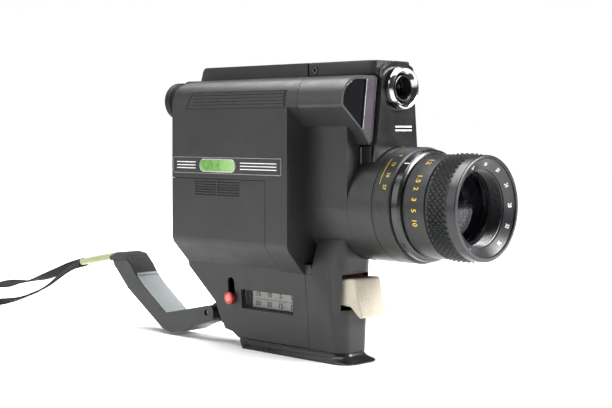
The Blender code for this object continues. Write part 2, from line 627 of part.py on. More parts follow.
def make_lens():
    """Zoom lens: front ring, focusing mount, index ring, zoom ring and the fixed barrel inside."""
    axis = (0.0, 0.0)
    turned("front_ring", [
        (28.6, 0.0), (FOCUS_R, 0.9), (FOCUS_R, BEZEL_END), (25.9, BEZEL_END), (25.9, 22.0),
        (LENS_TUNNEL_R - 0.6, 22.0), (LENS_TUNNEL_R - 0.6, 13.0), (LENS_TUNNEL_R, 13.0),
        (LENS_TUNNEL_R, 4.6), (27.6, 1.2), (27.6, 0.0),
    ], axis, "lens_metal", sides=48)
    turned("focus_ring", [
        (FOCUS_R, BEZEL_END + GAP), (FOCUS_R, FOCUS_END), (26.6, FOCUS_END), (26.6, BEZEL_END + GAP),
    ], axis, "lens_metal", sides=48)
    turned("front_element", [
        (0, 13.6), (8.0, 14.0), (15.0, 15.2), (21.1, 17.2), (21.1, 20.0), (0, 20.0),
    ], axis, "glass", sides=32)
    turned("index_ring", [
        (30.6, FOCUS_END + GAP), (32.6, 38.6), (32.6, INDEX_END), (26.5, INDEX_END),
        (26.5, FOCUS_END + GAP),
    ], axis, "lens_metal", sides=48)
    zoom = turned("zoom_ring", [
        (33.2, INDEX_END + GAP), (LENS_R, INDEX_END + 1.2), (LENS_R, ZOOM_END), (26.6, ZOOM_END),
        (26.6, INDEX_END + GAP),
    ], axis, "lens_metal", sides=48)
    screw_spot = (50.2, 1.0)
    screw_bed = cylinder("zoom_screw_bed", "X", screw_spot, 1.9, (-36, -31.2), sides=20)
    cut(zoom, screw_bed)
    cylinder("zoom_ring_screw", "X", screw_spot, 1.5, (-33.7, -31.6), "steel", sides=16)
    turned("lens_barrel", [
        (BARREL_R, 22.6), (BARREL_R, 74.6), (BARREL_BORE_R, 74.6), (BARREL_BORE_R, 22.6),
    ], axis, "aluminium", sides=40)
    turned("zoom_lens_cell", [
        (0, 31.0), (15.0, 29.0), (19.6, 28.6), (19.6, 37.0), (15.0, 37.0), (0, 33.5),
    ], axis, "glass", sides=32)
    turned("rear_lens_cell", [
        (0, 61.0), (12.0, 60.0), (19.7, 60.0), (19.7, 72.0), (12.0, 72.0), (0, 70.0),
    ], axis, "glass", sides=32)


# ---------------------------------------------------------------- mechanism

def make_mechanism():
    """Motor, gears, shutter, film gate and take-up spindle."""
    gate = box("film_gate", (-5.8, 9.0), (84.3, 85.9), (-18, 18), "steel")
    gate_window = box("gate_window", (-2.9, 2.9), (80, 90), (-2.1, 2.1))
    cut(gate, gate_window)

    spindle = (SHUTTER_SHAFT[0], 78.7, SHUTTER_SHAFT[1])
    disc = cylinder("shutter_disc", "Y", SHUTTER_SHAFT, 17.4, (78.2, 79.1), "black_plastic", spindle,
                    sides=40)
    open_sector = box("shutter_opening", (-40, SHUTTER_SHAFT[0] + 30), (70, 90), (3.2, 30))
    disc_bore = cylinder("shutter_bore", "Y", SHUTTER_SHAFT, 1.3, (70, 90), sides=16)
    cut(disc, open_sector, disc_bore)
    shaft = cylinder("shutter_gear", "Y", SHUTTER_SHAFT, 1.0, (77.4, 92.0), "steel", spindle, sides=16)
    wheel = prism("shutter_gear_teeth", gear_outline(SHUTTER_SHAFT, 5.9, 5.2, 14), "Y", (84.0, 88.0))
    join(shaft, wheel)
    prism("idler_gear", gear_outline(IDLER_SHAFT, 4.9, 4.2, 11), "Y", (84.0, 88.0), "brass",
          (IDLER_SHAFT[0], 86.0, IDLER_SHAFT[1]))

    motor = cylinder("motor", "Y", MOTOR_SHAFT, 6.5, (112.5, 137), "steel", sides=32)
    motor_bore = cylinder("motor_bore", "Y", MOTOR_SHAFT, 1.4, (90, 140), sides=16)
    cut(motor, motor_bore)
    rotor = cylinder("motor_shaft", "Y", MOTOR_SHAFT, 1.0, (83.0, 155.0), "brass",
                     (MOTOR_SHAFT[0], 120.0, MOTOR_SHAFT[1]), sides=16)
    pinion = prism("pinion_teeth", gear_outline(MOTOR_SHAFT, 4.3, 3.6, 10), "Y", (84.0, 89.0))
    worm = cylinder("worm_form", "Y", MOTOR_SHAFT, 3.2, (138.5, 154.5), sides=24)
    join(rotor, pinion, worm)

    takeup = cylinder("takeup_spindle", "X", TAKEUP_SHAFT, 1.9, (-24.0, 7.5), "steel",
                      (-20.3, *TAKEUP_SHAFT), sides=20)
    takeup_wheel = prism("takeup_wheel_teeth", gear_outline(TAKEUP_SHAFT, 10.8, 10.0, 18), "X",
                         (MOTOR_SHAFT[0] - 1.7, MOTOR_SHAFT[0] + 1.7))
    drive_tip = prism("takeup_tip", [
        (TAKEUP_SHAFT[0] + 3.6 * math.cos(math.radians(60 * k)),
         TAKEUP_SHAFT[1] + 3.6 * math.sin(math.radians(60 * k))) for k in range(6)], "X", (-6.0, 4.0))
    join(takeup, takeup_wheel, drive_tip)
    box("circuit_board", (-43.8, -42.2), (116, 205), (35, 60), "board")


# ---------------------------------------------------------------- batteries

def make_batteries():
    """Battery holder, its four cells with their contact plates, and the hinged door."""
    holder = prism("battery_holder", [
        (-29.8, 31.5), (-46.0, 31.5), (-46.0, -24.2), (-39.8, -31.2), (-29.8, -31.2),
    ], "Y", (130.5, 211.2), "black_plastic")
    chamber = box("cell_chamber", (-60, -31.3), (134.0, 208.0), (-26.3, 29.0))
    cut(holder, chamber)
    cells_y = [CELL_FIRST_Y + CELL_PITCH * k for k in range(CELL_COUNT)]
    for number, y in enumerate(cells_y, start=1):
        cell = cylinder("battery_cell_%d" % number, "Z", (CELL_X, y), CELL_R,
                        (CELL_BOTTOM, CELL_BOTTOM + CELL_LENGTH - 1.5), "cell_jacket", sides=28)
        button = cylinder("cell_button_%d" % number, "Z", (CELL_X, y), 2.7,
                          (CELL_BOTTOM + 10, CELL_BOTTOM + CELL_LENGTH), sides=16)
        join(cell, button)
    springs = box("battery_spring_plate", (-45.0, -32.4), (135, 207), (28.0, 28.7), "steel")
    for number, y in enumerate(cells_y, start=1):
        coil = cylinder("cell_spring_%d" % number, "Z", (CELL_X, y), 2.2, (25.6, 28.2), sides=16,
                        end_radius=3.6)
        join(springs, coil)
    box("battery_contact_plate", (-44.0, -32.4), (135, 207), (-26.0, -25.2), "steel")

    outer = [(BULGE_X, DOOR_TOP), (BULGE_X, BULGE_CREASE, CREASE_R), (-35.2, -41.2)]
    inner = [(-35.2, -38.6), (BULGE_X + DOOR_SKIN, BULGE_CREASE + 0.75, CREASE_R - DOOR_SKIN),
             (BULGE_X + DOOR_SKIN, DOOR_TOP)]
    door = prism("battery_door", outer + inner, "Y", (DOOR_FRONT, BULGE_BACK), "body_plastic",
                 DOOR_HINGE)
    groove_pitch = 1.6
    for k in range(6):
        z = 3.2 + k * groove_pitch
        groove = box("door_groove_%d" % k, (BULGE_X - 1, BULGE_X + 0.8), (150.6, 191.4), (z, z + 0.8))
        cut(door, groove)


# ---------------------------------------------------------------- grip

def make_grip():
    """Grip: rear shell with counter window and lock slot, front cover, base and tripod bush."""
    left = GRIP_MID - GRIP_HALF
    right = GRIP_MID + GRIP_HALF
    shell = prism("grip_shell", [
        (GRIP_SEAM + GAP, GRIP_TOP), (GRIP_SEAM + GAP, GRIP_BOTTOM), (172.0, GRIP_BOTTOM),
        (177.6, -84.2, 1.5), (184.2, -83.0, 1.5), (186.2, -78.6), (192.0, -66.0, 3.0),
        (215.0, -45.0, 3.0), (217.0, GRIP_TOP),
    ], "X", (left, right), "body_plastic")
    draft(shell, GRIP_TOP, GRIP_DRAFT)
    hollow = prism("grip_hollow", [
        (GRIP_SEAM - 5, GRIP_TOP - 2.2), (GRIP_SEAM - 5, GRIP_BOTTOM - 5), (168.0, GRIP_BOTTOM - 5),
        (168.0, -85.2), (176.8, -81.4), (182.6, -80.4), (189.8, -65.0), (211.0, -45.0),
        (212.0, GRIP_TOP - 2.2),
    ], "X", (left + WALL, right - WALL))
    draft(hollow, GRIP_TOP, GRIP_DRAFT)
    window = box("counter_opening", (-40, -25), (121.6, 166.9), (-68.1, -56.3))
    knob_slot = prism("knob_slot", [
        (172.6, -66.2, 2.9), (178.6, -66.2, 2.9), (178.6, -49.5, 2.9), (172.6, -49.5, 2.9)], "X",
        (-40, -25))
    cut(shell, hollow, window, knob_slot)

    cover = prism("grip_front_cover", [
        (left, GRIP_SEAM), (left, GRIP_FRONT, 10.0), (right, GRIP_FRONT, 10.0), (right, GRIP_SEAM),
    ], "Z", (GRIP_BOTTOM, GRIP_TOP + 20), "body_plastic")
    draft(cover, GRIP_TOP, GRIP_DRAFT)
    above = box("above_cover", (SPLIT_X - GAP, 20), (70, 120), (CHASSIS_LOW - GAP, 0))
    under_neck = cylinder("under_neck", "Y", (0, 0), LENS_R + GAP, (50, 120), sides=96)
    pillar_side = prism("pillar_side", [
        (-60, -45), (-36.0, -45), (-26.9, -20.0), (-26.9, 10.0), (-60, 10.0)], "Y", (60, 120))
    pillar_back = box("pillar_back", (-60, -22), (PILLAR_BACK, 120), (PILLAR_FOOT, 0))
    cover_hollow = prism("cover_hollow", [
        (left + WALL, GRIP_SEAM + 5), (left + WALL, GRIP_FRONT + WALL, 8.0),
        (right - WALL, GRIP_FRONT + WALL, 8.0), (right - WALL, GRIP_SEAM + 5),
    ], "Z", (GRIP_BOTTOM - 5, PILLAR_FOOT - WALL))
    draft(cover_hollow, GRIP_TOP, GRIP_DRAFT)
    trigger_slot = box("trigger_slot", (-28.6, -5.2), (70, 90), (-62.3, -41.0))
    trigger_room = box("trigger_room", (-27.6, -6.4), (83.4, 99), (-60, -39.5))
    cut(cover, above, under_neck, pillar_side, pillar_back, cover_hollow, trigger_slot, trigger_room)

    front_half, rear_half, rear_overhang = 16.0, 14.0, 4.0   # half-widths at the ends; how far the top reaches back
    base = prism("base_plate", [
        (GRIP_MID - rear_half, BASE_REAR, 2.0), (GRIP_MID - front_half, BASE_FRONT, 10.0),
        (GRIP_MID + front_half, BASE_FRONT, 10.0), (GRIP_MID + rear_half, BASE_REAR, 2.0),
    ], "Z", (BASE_BOTTOM, GRIP_BOTTOM - GAP), "gloss_plastic")
    top_half = GRIP_HALF - (GRIP_TOP - GRIP_BOTTOM) * GRIP_DRAFT
    for vertex in base.data.vertices:
        if vertex.co.z > (BASE_BOTTOM + 2) * MM:
            share = (vertex.co.y / MM - BASE_FRONT) / (BASE_REAR - BASE_FRONT)
            half = front_half + (rear_half - front_half) * share
            vertex.co.x = (GRIP_MID + (vertex.co.x / MM - GRIP_MID) * top_half / half) * MM
            vertex.co.y = (GRIP_FRONT + share * (BASE_REAR + rear_overhang - GRIP_FRONT)) * MM
    bevel(base, 0.8, segments=2, angle=50)
    bush_hole = cylinder("bush_hole", "Z", BUSH_SPOT, 5.3, (-100, -80), sides=32)
    cut(base, bush_hole)
    bush = cylinder("tripod_bush", "Z", BUSH_SPOT, 5.0, (-93.0, -84.5), "brass", sides=32)
    flange = cylinder("bush_flange", "Z", BUSH_SPOT, 7.0, (-87.2, -84.5), sides=32)
    thread = cylinder("bush_thread", "Z", BUSH_SPOT, 3.2, (-95, -86.0), sides=24)
    join(bush, flange)
    cut(bush, thread)


def make_counter():
    """Film counter: a black box behind the grip's window, its scale and a sliding pointer."""
    case = box("counter_box", (-28.2, -22.4), (120.0, 168.4), (-70.0, -54.5), "black_plastic")
    pocket = box("counter_pocket", (-31, -24.0), (121.8, 166.7), (-67.9, -56.5))
    cut(case, pocket)
    box("counter_scale", (-25.4, -24.3), (122.4, 166.1), (-67.4, -57.0), "scale_card")
    box("counter_pointer", (-26.9, -26.2), (124.6, 125.6), (-66.9, -57.4), "red_plastic",
        (-26.5, 125.1, -62.2))


def make_lock_knob():
    """Red run-lock knob, which slides up its slot along the grip's slanting side."""
    y = 175.6
    z = -62.4
    skin = grip_side(z)
    pivot = (skin, y, z)
    knob = cylinder("lock_knob", "X", (y, z), 3.9, (skin - 3.4, skin - 0.6), "red_plastic", pivot,
                    sides=28)
    bevel(knob, 0.7)
    stem = cylinder("lock_stem", "X", (y, z), 2.4, (skin - 1.5, skin + 4.5), sides=20)
    join(knob, stem)


def make_trigger():
    """Release trigger, which swings on a cross pin behind the grip's front face."""
    trigger = prism("trigger", [
        (87.5, -43.6, 1.0), (76.0, -43.2, 1.6), (74.8, -48.5), (73.6, -54.5), (71.6, -60.2),
        (69.6, -64.6, 1.4), (72.2, -66.6, 1.4), (75.8, -63.6), (79.8, -59.9, 1.2), (95.0, -59.0, 1.0),
        (96.0, -42.0, 2.0), (89.5, -41.6, 1.5),
    ], "X", (-26.2, -3.0), "cream_plastic", TRIGGER_PIVOT)
    bevel(trigger, 1.0, segments=2, angle=60)
    bore = cylinder("trigger_bore", "X", TRIGGER_PIVOT[1:], 1.4, (-40, 10), sides=16)
    beside_stem = box("beside_stem", (-6.8, 2), (78.5, 100), (-75, -35))
    cut(trigger, bore, beside_stem)
    cylinder("trigger_pin", "X", TRIGGER_PIVOT[1:], 1.0, (-27.3, -6.7), "steel", sides=16)


# ---------------------------------------------------------------- handle and strap

def make_handle():
    """Folding handle at the lower back: bracket, pin, bent arm and the cap that holds the strap."""
    pin_spot = HANDLE_PIVOT[1:]
    bracket = prism("handle_bracket", [
        (192.7, -66.4), (194.2, -66.9), (204.5, -69.6, 3.0), (209.6, -75.2, 4.0),
        (204.2, -80.8, 4.0), (188.9, -79.8), (186.9, -78.9),
    ], "X", (-20.8, -15.2), "black_plastic")
    plate = prism("bracket_plate", [
        (192.6, -66.0), (194.3, -66.8), (188.3, -79.9), (186.6, -79.0)], "X", (-28.5, -7.5))
    pin_bore = cylinder("pin_bore", "X", pin_spot, 1.9, (-40, 10), sides=20)
    join(bracket, plate)
    cut(bracket, pin_bore)
    cylinder("handle_pin", "X", pin_spot, 1.6, (-26.5, -9.5), "steel", sides=20)

    arm = prism("handle_arm", [
        (197.6, -71.0, 3.0), (203.0, -70.4), (246.0, -79.4, 1.0), (270.0, -63.0), (278.0, -56.0),
        (283.0, -49.8), (287.5, -46.6), (304.5, -48.8, 2.0), (298.3, -54.0), (285.8, -66.1),
        (248.5, -90.0, 4.0), (240.6, -91.9), (227.2, -90.0, 3.0), (215.1, -84.7), (202.0, -81.2),
        (197.4, -79.8, 3.0),
    ], "X", HANDLE_X, "grey_plastic", HANDLE_PIVOT)
    bevel(arm, 1.2, segments=2, angle=60)
    fork = prism("handle_fork", [(185, -60), (211.5, -60), (211.5, -95), (185, -95)], "X",
                 (-21.1, -14.9))
    tray = prism("handle_tray", [
        (252.0, -78.9), (251.0, -74.2), (271.5, -60.1), (279.4, -52.0), (282.6, -54.6),
        (274.0, -63.6)], "X", (HANDLE_X[0] + 2.2, HANDLE_X[1] - 2.2))
    arm_bore = cylinder("arm_bore", "X", pin_spot, 1.9, (-40, 10), sides=20)
    cut(arm, fork, tray, arm_bore)

    cap = prism("handle_cap", [
        (283.6, -48.9), (289.7, -43.2, 2.0), (299.0, -42.0, 3.0), (308.0, -45.6, 1.2),
        (306.0, -48.4), (287.6, -46.2),
    ], "X", (HANDLE_X[0] + 0.4, HANDLE_X[1] - 0.4), "black_plastic", HANDLE_PIVOT)
    bevel(cap, 0.8, segments=2, angle=60)


def make_strap():
    """Wrist strap: the sleeve at the handle's tip and the loop of webbing behind it."""
    sleeve = prism("strap_sleeve", SLEEVE_OUTLINE, "X", (-22.2, -13.6), "sleeve")
    bevel(sleeve, 0.5, segments=2, angle=50)
    flat = bpy.data.curves.new("strap", "CURVE")
    flat.dimensions = "3D"
    flat.bevel_depth = STRAP_R * MM
    flat.bevel_resolution = 2
    flat.use_fill_caps = True
    spline = flat.splines.new("POLY")
    route = smooth_route(STRAP_ROUTE, STRAP_SAMPLES)
    spline.points.add(len(route) - 1)
    for point, spot in zip(spline.points, route):
        point.co = (*(spot * MM), 1)
    strap = bpy.data.objects.new("strap", flat)
    strap.parent = origin
    flat.materials.append(material("webbing"))
    camera_parts.objects.link(strap)


make_side_shell()
make_film_chassis()
make_film_door()
make_top_cover()
make_meter_housing()
make_front()
make_eyepiece()
make_lens()
make_mechanism()
make_batteries()
make_grip()
make_counter()
make_lock_knob()
make_trigger()
make_handle()
make_strap()
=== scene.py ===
"""Looks of the hand-held cine camera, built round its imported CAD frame.

Shapes are drawn in millimetres in the lens frame, as in the part's own source: X = 0 and Z = 0 on the
lens axis, Y = 0 at the front rim of the lens, +Y to the back. The frame says where that is.
"""
import json
import math

import bmesh
import bpy
from mathutils import Matrix, Vector

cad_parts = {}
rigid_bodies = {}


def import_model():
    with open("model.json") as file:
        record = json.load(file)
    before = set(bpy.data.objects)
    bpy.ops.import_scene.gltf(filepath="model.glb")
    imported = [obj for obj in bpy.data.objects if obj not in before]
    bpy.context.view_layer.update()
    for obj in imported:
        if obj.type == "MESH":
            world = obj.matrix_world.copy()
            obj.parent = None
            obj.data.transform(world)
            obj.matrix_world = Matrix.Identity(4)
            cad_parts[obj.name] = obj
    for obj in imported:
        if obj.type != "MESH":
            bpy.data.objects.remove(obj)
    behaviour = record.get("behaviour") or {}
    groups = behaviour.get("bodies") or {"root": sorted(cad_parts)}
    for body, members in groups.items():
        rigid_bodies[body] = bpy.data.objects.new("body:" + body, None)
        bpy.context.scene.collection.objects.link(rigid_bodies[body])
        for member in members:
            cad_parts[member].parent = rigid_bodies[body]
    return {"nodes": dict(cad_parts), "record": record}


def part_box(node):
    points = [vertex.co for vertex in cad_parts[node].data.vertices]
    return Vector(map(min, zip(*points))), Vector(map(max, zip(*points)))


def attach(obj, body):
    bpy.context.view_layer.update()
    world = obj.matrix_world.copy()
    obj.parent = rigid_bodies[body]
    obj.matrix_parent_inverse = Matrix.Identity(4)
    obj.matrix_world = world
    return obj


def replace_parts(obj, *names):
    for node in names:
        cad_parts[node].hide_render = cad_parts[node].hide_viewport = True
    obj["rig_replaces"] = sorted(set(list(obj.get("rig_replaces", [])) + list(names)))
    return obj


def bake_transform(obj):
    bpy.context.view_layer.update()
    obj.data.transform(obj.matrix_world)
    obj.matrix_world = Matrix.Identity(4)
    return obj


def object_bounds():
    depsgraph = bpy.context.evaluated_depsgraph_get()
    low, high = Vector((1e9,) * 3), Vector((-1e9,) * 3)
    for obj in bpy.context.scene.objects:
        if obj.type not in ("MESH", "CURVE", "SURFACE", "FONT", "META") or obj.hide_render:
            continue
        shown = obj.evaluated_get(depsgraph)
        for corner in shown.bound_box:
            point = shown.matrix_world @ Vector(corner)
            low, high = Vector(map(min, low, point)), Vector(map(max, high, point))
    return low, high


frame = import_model()
cad_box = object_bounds()

MM = 0.001
scene = bpy.context.scene

ring_low, ring_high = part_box("zoom_ring")
front_low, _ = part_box("front_ring")
LENS = Vector(((ring_low.x + ring_high.x) / 2, front_low.y, (ring_low.z + ring_high.z) / 2))
TO_ROW = Matrix.Translation(LENS) @ Matrix.Scale(MM, 4)

RECORD = frame["record"]
BODY_OF = {node: body for body, nodes in RECORD["behaviour"]["bodies"].items() for node in nodes}
SLOT_OF = {row["node"]: row["material_slot"] for row in RECORD["subparts"]}

# sizes shared with the frame, in millimetres
BULGE_X = -48.6
BODY_TOP = 75.5
SHOULDER_R = 15.5
LENS_R = 34.0
FOCUS_R = 30.0
EYE = (-1.5, 63.6)                 # X, Z of the eyepiece
FINDER = (-1.5, 68.6)              # X, Z of the finder's window
GRIP_MID = -17.0
GRIP_HALF = 17.0
GRIP_DRAFT = 4.8 / 51.2
GRIP_TOP = -36.3
HANDLE_SIDES = (-27.9, -8.1)
NECK_BACK = 75.0
TRIPOD_BUSH = (-18.5, 122.0)       # X, Y
LOCK_KNOB = (175.6, -62.4)         # Y, Z
COUNTER_Y = (121.8, 166.7)
COUNTER_Z = (-67.95, -56.45)

TINY = 0.0005                      # millimetres: vertices closer than this are one


def at(x, y, z):
    """A point of the lens frame, in the row frame."""
    return TO_ROW @ Vector((x, y, z))


# ---- camera

HEADING = math.radians(46.0)
VIEW_FROM = (-582.8, -422.1, 43.9)

camera = bpy.data.objects.new("camera", bpy.data.cameras.new("camera"))
scene.collection.objects.link(camera)
camera.location = at(*VIEW_FROM)
camera.rotation_euler = (math.radians(90), 0, -HEADING)
camera.data.sensor_width = 36.0
camera.data.lens = 75.3
camera.data.shift_y = -0.121
camera.data.clip_start = 0.01
camera.data.clip_end = 20.0
scene.camera = camera


# ---- materials

# texture features: sizes in millimetres, and the weft's slant as a ratio
PLASTIC_PATCH, METAL_PATCH, PAINT_PATCH = 28.0, 11.0, 16.0
PLASTIC_GLOSS, PAINT_GLOSS = 9.0, 7.0
SPECK = 0.8
WARP_PITCH, WEFT_PITCH, WEFT_SLANT = 0.55, 0.8, 0.6

DUST_COLOUR = (0.32, 0.31, 0.29)
WORN_PAINT = (0.17, 0.17, 0.16)


class Finish:
    """A Principled material with short ways to add texture nodes."""

    def __init__(self, name, **constants):
        self.material = bpy.data.materials.new(name)
        self.material.use_nodes = True
        self.nodes = self.material.node_tree.nodes
        self.links = self.material.node_tree.links
        self.shader = self.nodes["Principled BSDF"]
        for socket, value in constants.items():
            self.shader.inputs[socket.replace("_", " ")].default_value = value
        self.place = self.nodes.new("ShaderNodeTexCoord").outputs["Object"]

    def node(self, kind, settings=None, **inputs):
        """A new node; each input is a value, or a socket to link from."""
        made = self.nodes.new(kind)
        for key, value in (settings or {}).items():
            setattr(made, key, value)
        for key, value in inputs.items():
            socket = made.inputs[key.replace("_", " ")]
            if isinstance(value, bpy.types.NodeSocket):
                self.links.new(value, socket)
            else:
                socket.default_value = value
        return made

    def noise(self, size, detail=3.0, roughness=0.55, place=None):
        """Noise whose features are about size millimetres across."""
        return self.node("ShaderNodeTexNoise", Vector=place or self.place, Scale=1.0 / (size * MM),
                         Detail=detail, Roughness=roughness).outputs["Fac"]

    def patches(self, size):
        """A share from 0 to 1 in soft patches about size millimetres across."""
        return self.spread(self.noise(size, 4.0), 0.35, 0.65, 0.0, 1.0)

    def spread(self, value, low, high, to_low, to_high):
        """The value, moved from one range to another and held inside it."""
        made = self.node("ShaderNodeMapRange", Value=value)
        for name, limit in (("From Min", low), ("From Max", high), ("To Min", to_low),
                            ("To Max", to_high)):
            made.inputs[name].default_value = limit
        return made.outputs["Result"]

    def blend(self, share, first, second):
        """A colour between two, by the share of the second."""
        made = self.node("ShaderNodeMix", {"data_type": "RGBA"})
        self.connect(share, made.inputs[0])
        self.connect(first, made.inputs[6])
        self.connect(second, made.inputs[7])
        return made.outputs[2]

    def sum(self, kind, first, second):
        """One step of arithmetic; kind is the Math node's operation."""
        made = self.node("ShaderNodeMath", {"operation": kind})
        self.connect(first, made.inputs[0])
        self.connect(second, made.inputs[1])
        return made.outputs[0]

    def connect(self, value, socket):
        """Link a socket, or set a colour or a number."""
        if isinstance(value, bpy.types.NodeSocket):
            self.links.new(value, socket)
        elif isinstance(value, tuple) and len(value) == 3:
            socket.default_value = (*value, 1.0)
        else:
            socket.default_value = value

    def stretched(self, x, y, z):
        """The place, squeezed along an axis so that a noise runs in streaks."""
        return self.node("ShaderNodeMapping", Vector=self.place, Scale=(x, y, z)).outputs["Vector"]

    def worn_edges(self, width, amount):
        """How far the paint is rubbed away: patchy, and only along the edges."""
        bevel = self.node("ShaderNodeBevel", {"samples": 4}, Radius=width * MM)
        true_normal = self.nodes.new("ShaderNodeNewGeometry").outputs["Normal"]
        turn = self.node("ShaderNodeVectorMath", {"operation": "DOT_PRODUCT"})
        self.links.new(bevel.outputs["Normal"], turn.inputs[0])
        self.links.new(true_normal, turn.inputs[1])
        edge = self.spread(turn.outputs["Value"], 0.985, 0.82, 0.0, amount)
        return self.sum("MULTIPLY", edge, self.spread(self.noise(2.2, 5.0), 0.35, 0.65, 0.25, 1.0))

    def bump(self, height, depth, strength):
        """A normal dented by the height, up to depth millimetres."""
        made = self.node("ShaderNodeBump", Height=height, Distance=depth * MM, Strength=strength)
        return made.outputs["Normal"]

    def set(self, **sockets):
        """Link the shader's inputs; returns the finished material."""
        for name, value in sockets.items():
            self.links.new(value, self.shader.inputs[name.replace("_", " ")])
        return self.material


def moulded(name, dark, light, roughness, grain=0.4, depth=0.012, spread=0.07, worn=None, dust=0.0,
            **constants):
    """Moulded plastic: mottled colour, fine surface grain, uneven gloss, and paler worn edges."""
    finish = Finish(name, **constants)
    fine = finish.noise(grain, 2.0)
    colour = finish.blend(finish.patches(PLASTIC_PATCH), dark, light)
    flecks = finish.spread(finish.noise(grain * 1.7, 1.0), 0.35, 0.7, 0.0, 0.35)
    colour = finish.blend(flecks, colour, tuple(1.25 * c for c in light))
    if dust:
        specks = finish.spread(finish.noise(SPECK, 6.0, 0.75), 0.63, 0.74, 0.0, dust)
        colour = finish.blend(specks, colour, DUST_COLOUR)
    if worn:
        colour = finish.blend(finish.worn_edges(0.5, 0.55), colour, worn)
    gloss = finish.spread(finish.noise(PLASTIC_GLOSS, 5.0), 0.3, 0.7, roughness - spread,
                          roughness + spread)
    return finish.set(Base_Color=colour, Roughness=gloss, Normal=finish.bump(fine, depth, 0.5))


def metal(name, dark, light, roughness, streak=(1, 1, 1), grain=0.5, depth=0.004, spread=0.06,
          **constants):
    """Metal with fine machining streaks; streak squeezes the grain along an axis."""
    finish = Finish(name, Metallic=1.0, **constants)
    lines = finish.noise(grain, 3.0, place=finish.stretched(*streak))
    colour = finish.blend(finish.patches(METAL_PATCH), dark, light)
    gloss = finish.spread(lines, 0.3, 0.7, roughness - spread, roughness + spread)
    return finish.set(Base_Color=colour, Roughness=gloss, Normal=finish.bump(lines, depth, 0.5))


def turned_paint(name, dark, light, roughness, pitch=0.16, **constants):
    """Black finish on turned lens rings, with the faint lines of the cutting tool round the axis."""
    finish = Finish(name, **constants)
    colour = finish.blend(finish.patches(PAINT_PATCH), dark, light)
    colour = finish.blend(finish.worn_edges(0.3, 0.4), colour, WORN_PAINT)
    across = finish.node("ShaderNodeSeparateXYZ", Vector=finish.place).outputs["Y"]
    wave = finish.sum("SINE", finish.sum("MULTIPLY", across, 2 * math.pi / (pitch * MM)), 0.0)
    height = finish.sum("ADD", wave, finish.noise(0.5, 2.0))
    gloss = finish.spread(finish.noise(PAINT_GLOSS, 5.0), 0.3, 0.7, roughness - 0.06, roughness + 0.07)
    return finish.set(Base_Color=colour, Roughness=gloss, Normal=finish.bump(height, 0.002, 0.6))


def coated_glass(name, tint):
    """Optical glass whose coating leaves little reflection, with a trace of dust."""
    finish = Finish(name, Transmission_Weight=1.0, IOR=1.25)
    dust = finish.spread(finish.noise(0.7, 6.0, 0.8), 0.66, 0.8, 0.0, 0.12)
    colour = finish.blend(dust, tint, tuple(0.75 * c for c in tint))
    gloss = finish.spread(finish.noise(6.0, 4.0), 0.3, 0.8, 0.0, 0.05)
    return finish.set(Base_Color=colour, Roughness=gloss)


def webbing_finish(name, dark, light):
    """Woven tape: the piece's UV map gives the place along (U) and across (V) the tape, in millimetres."""
    finish = Finish(name, Sheen_Weight=0.08, Sheen_Roughness=0.4, Specular_IOR_Level=0.2)
    place = finish.nodes.new("ShaderNodeUVMap").outputs["UV"]
    split = finish.node("ShaderNodeSeparateXYZ", Vector=place)
    along, across = split.outputs["X"], split.outputs["Y"]
    warp = finish.sum("SINE", finish.sum("MULTIPLY", across, 2 * math.pi / WARP_PITCH), 0.0)
    slope = finish.sum("ADD", along, finish.sum("MULTIPLY", across, WEFT_SLANT))
    weft = finish.sum("SINE", finish.sum("MULTIPLY", slope, 2 * math.pi / WEFT_PITCH), 0.0)
    weave = finish.sum("MULTIPLY", warp, weft)
    fuzz = finish.noise(0.25, 3.0)
    height = finish.sum("ADD", weave, fuzz)
    colour = finish.blend(finish.spread(height, -0.6, 1.4, 0.0, 1.0), dark, light)
    gloss = finish.spread(fuzz, 0.3, 0.7, 0.72, 0.92)
    return finish.set(Base_Color=colour, Roughness=gloss, Normal=finish.bump(height, 0.09, 0.8))


def floor_finish():
    """White floor: plain near the object, and glowing softly farther out so that it has no horizon."""
    finish = Finish("floor", Specular_IOR_Level=0.2)
    colour = finish.blend(finish.noise(160.0, 3.0), (0.9, 0.9, 0.89), (0.94, 0.94, 0.93))
    gloss = finish.spread(finish.noise(30.0, 3.0), 0.3, 0.7, 0.55, 0.7)
    away = finish.node("ShaderNodeVectorMath", {"operation": "LENGTH"})
    finish.links.new(finish.place, away.inputs[0])
    glow = finish.spread(away.outputs["Value"], 0.1, 1.1, 0.1, 0.95)
    camera_ray = finish.nodes.new("ShaderNodeLightPath").outputs["Is Camera Ray"]
    seen = finish.spread(camera_ray, 0.0, 1.0, 0.3, 1.0)
    glow = finish.sum("MULTIPLY", glow, seen)
    finish.shader.inputs["Emission Color"].default_value = (1.0, 1.0, 1.0, 1.0)
    return finish.set(Base_Color=colour, Roughness=gloss, Emission_Strength=glow)


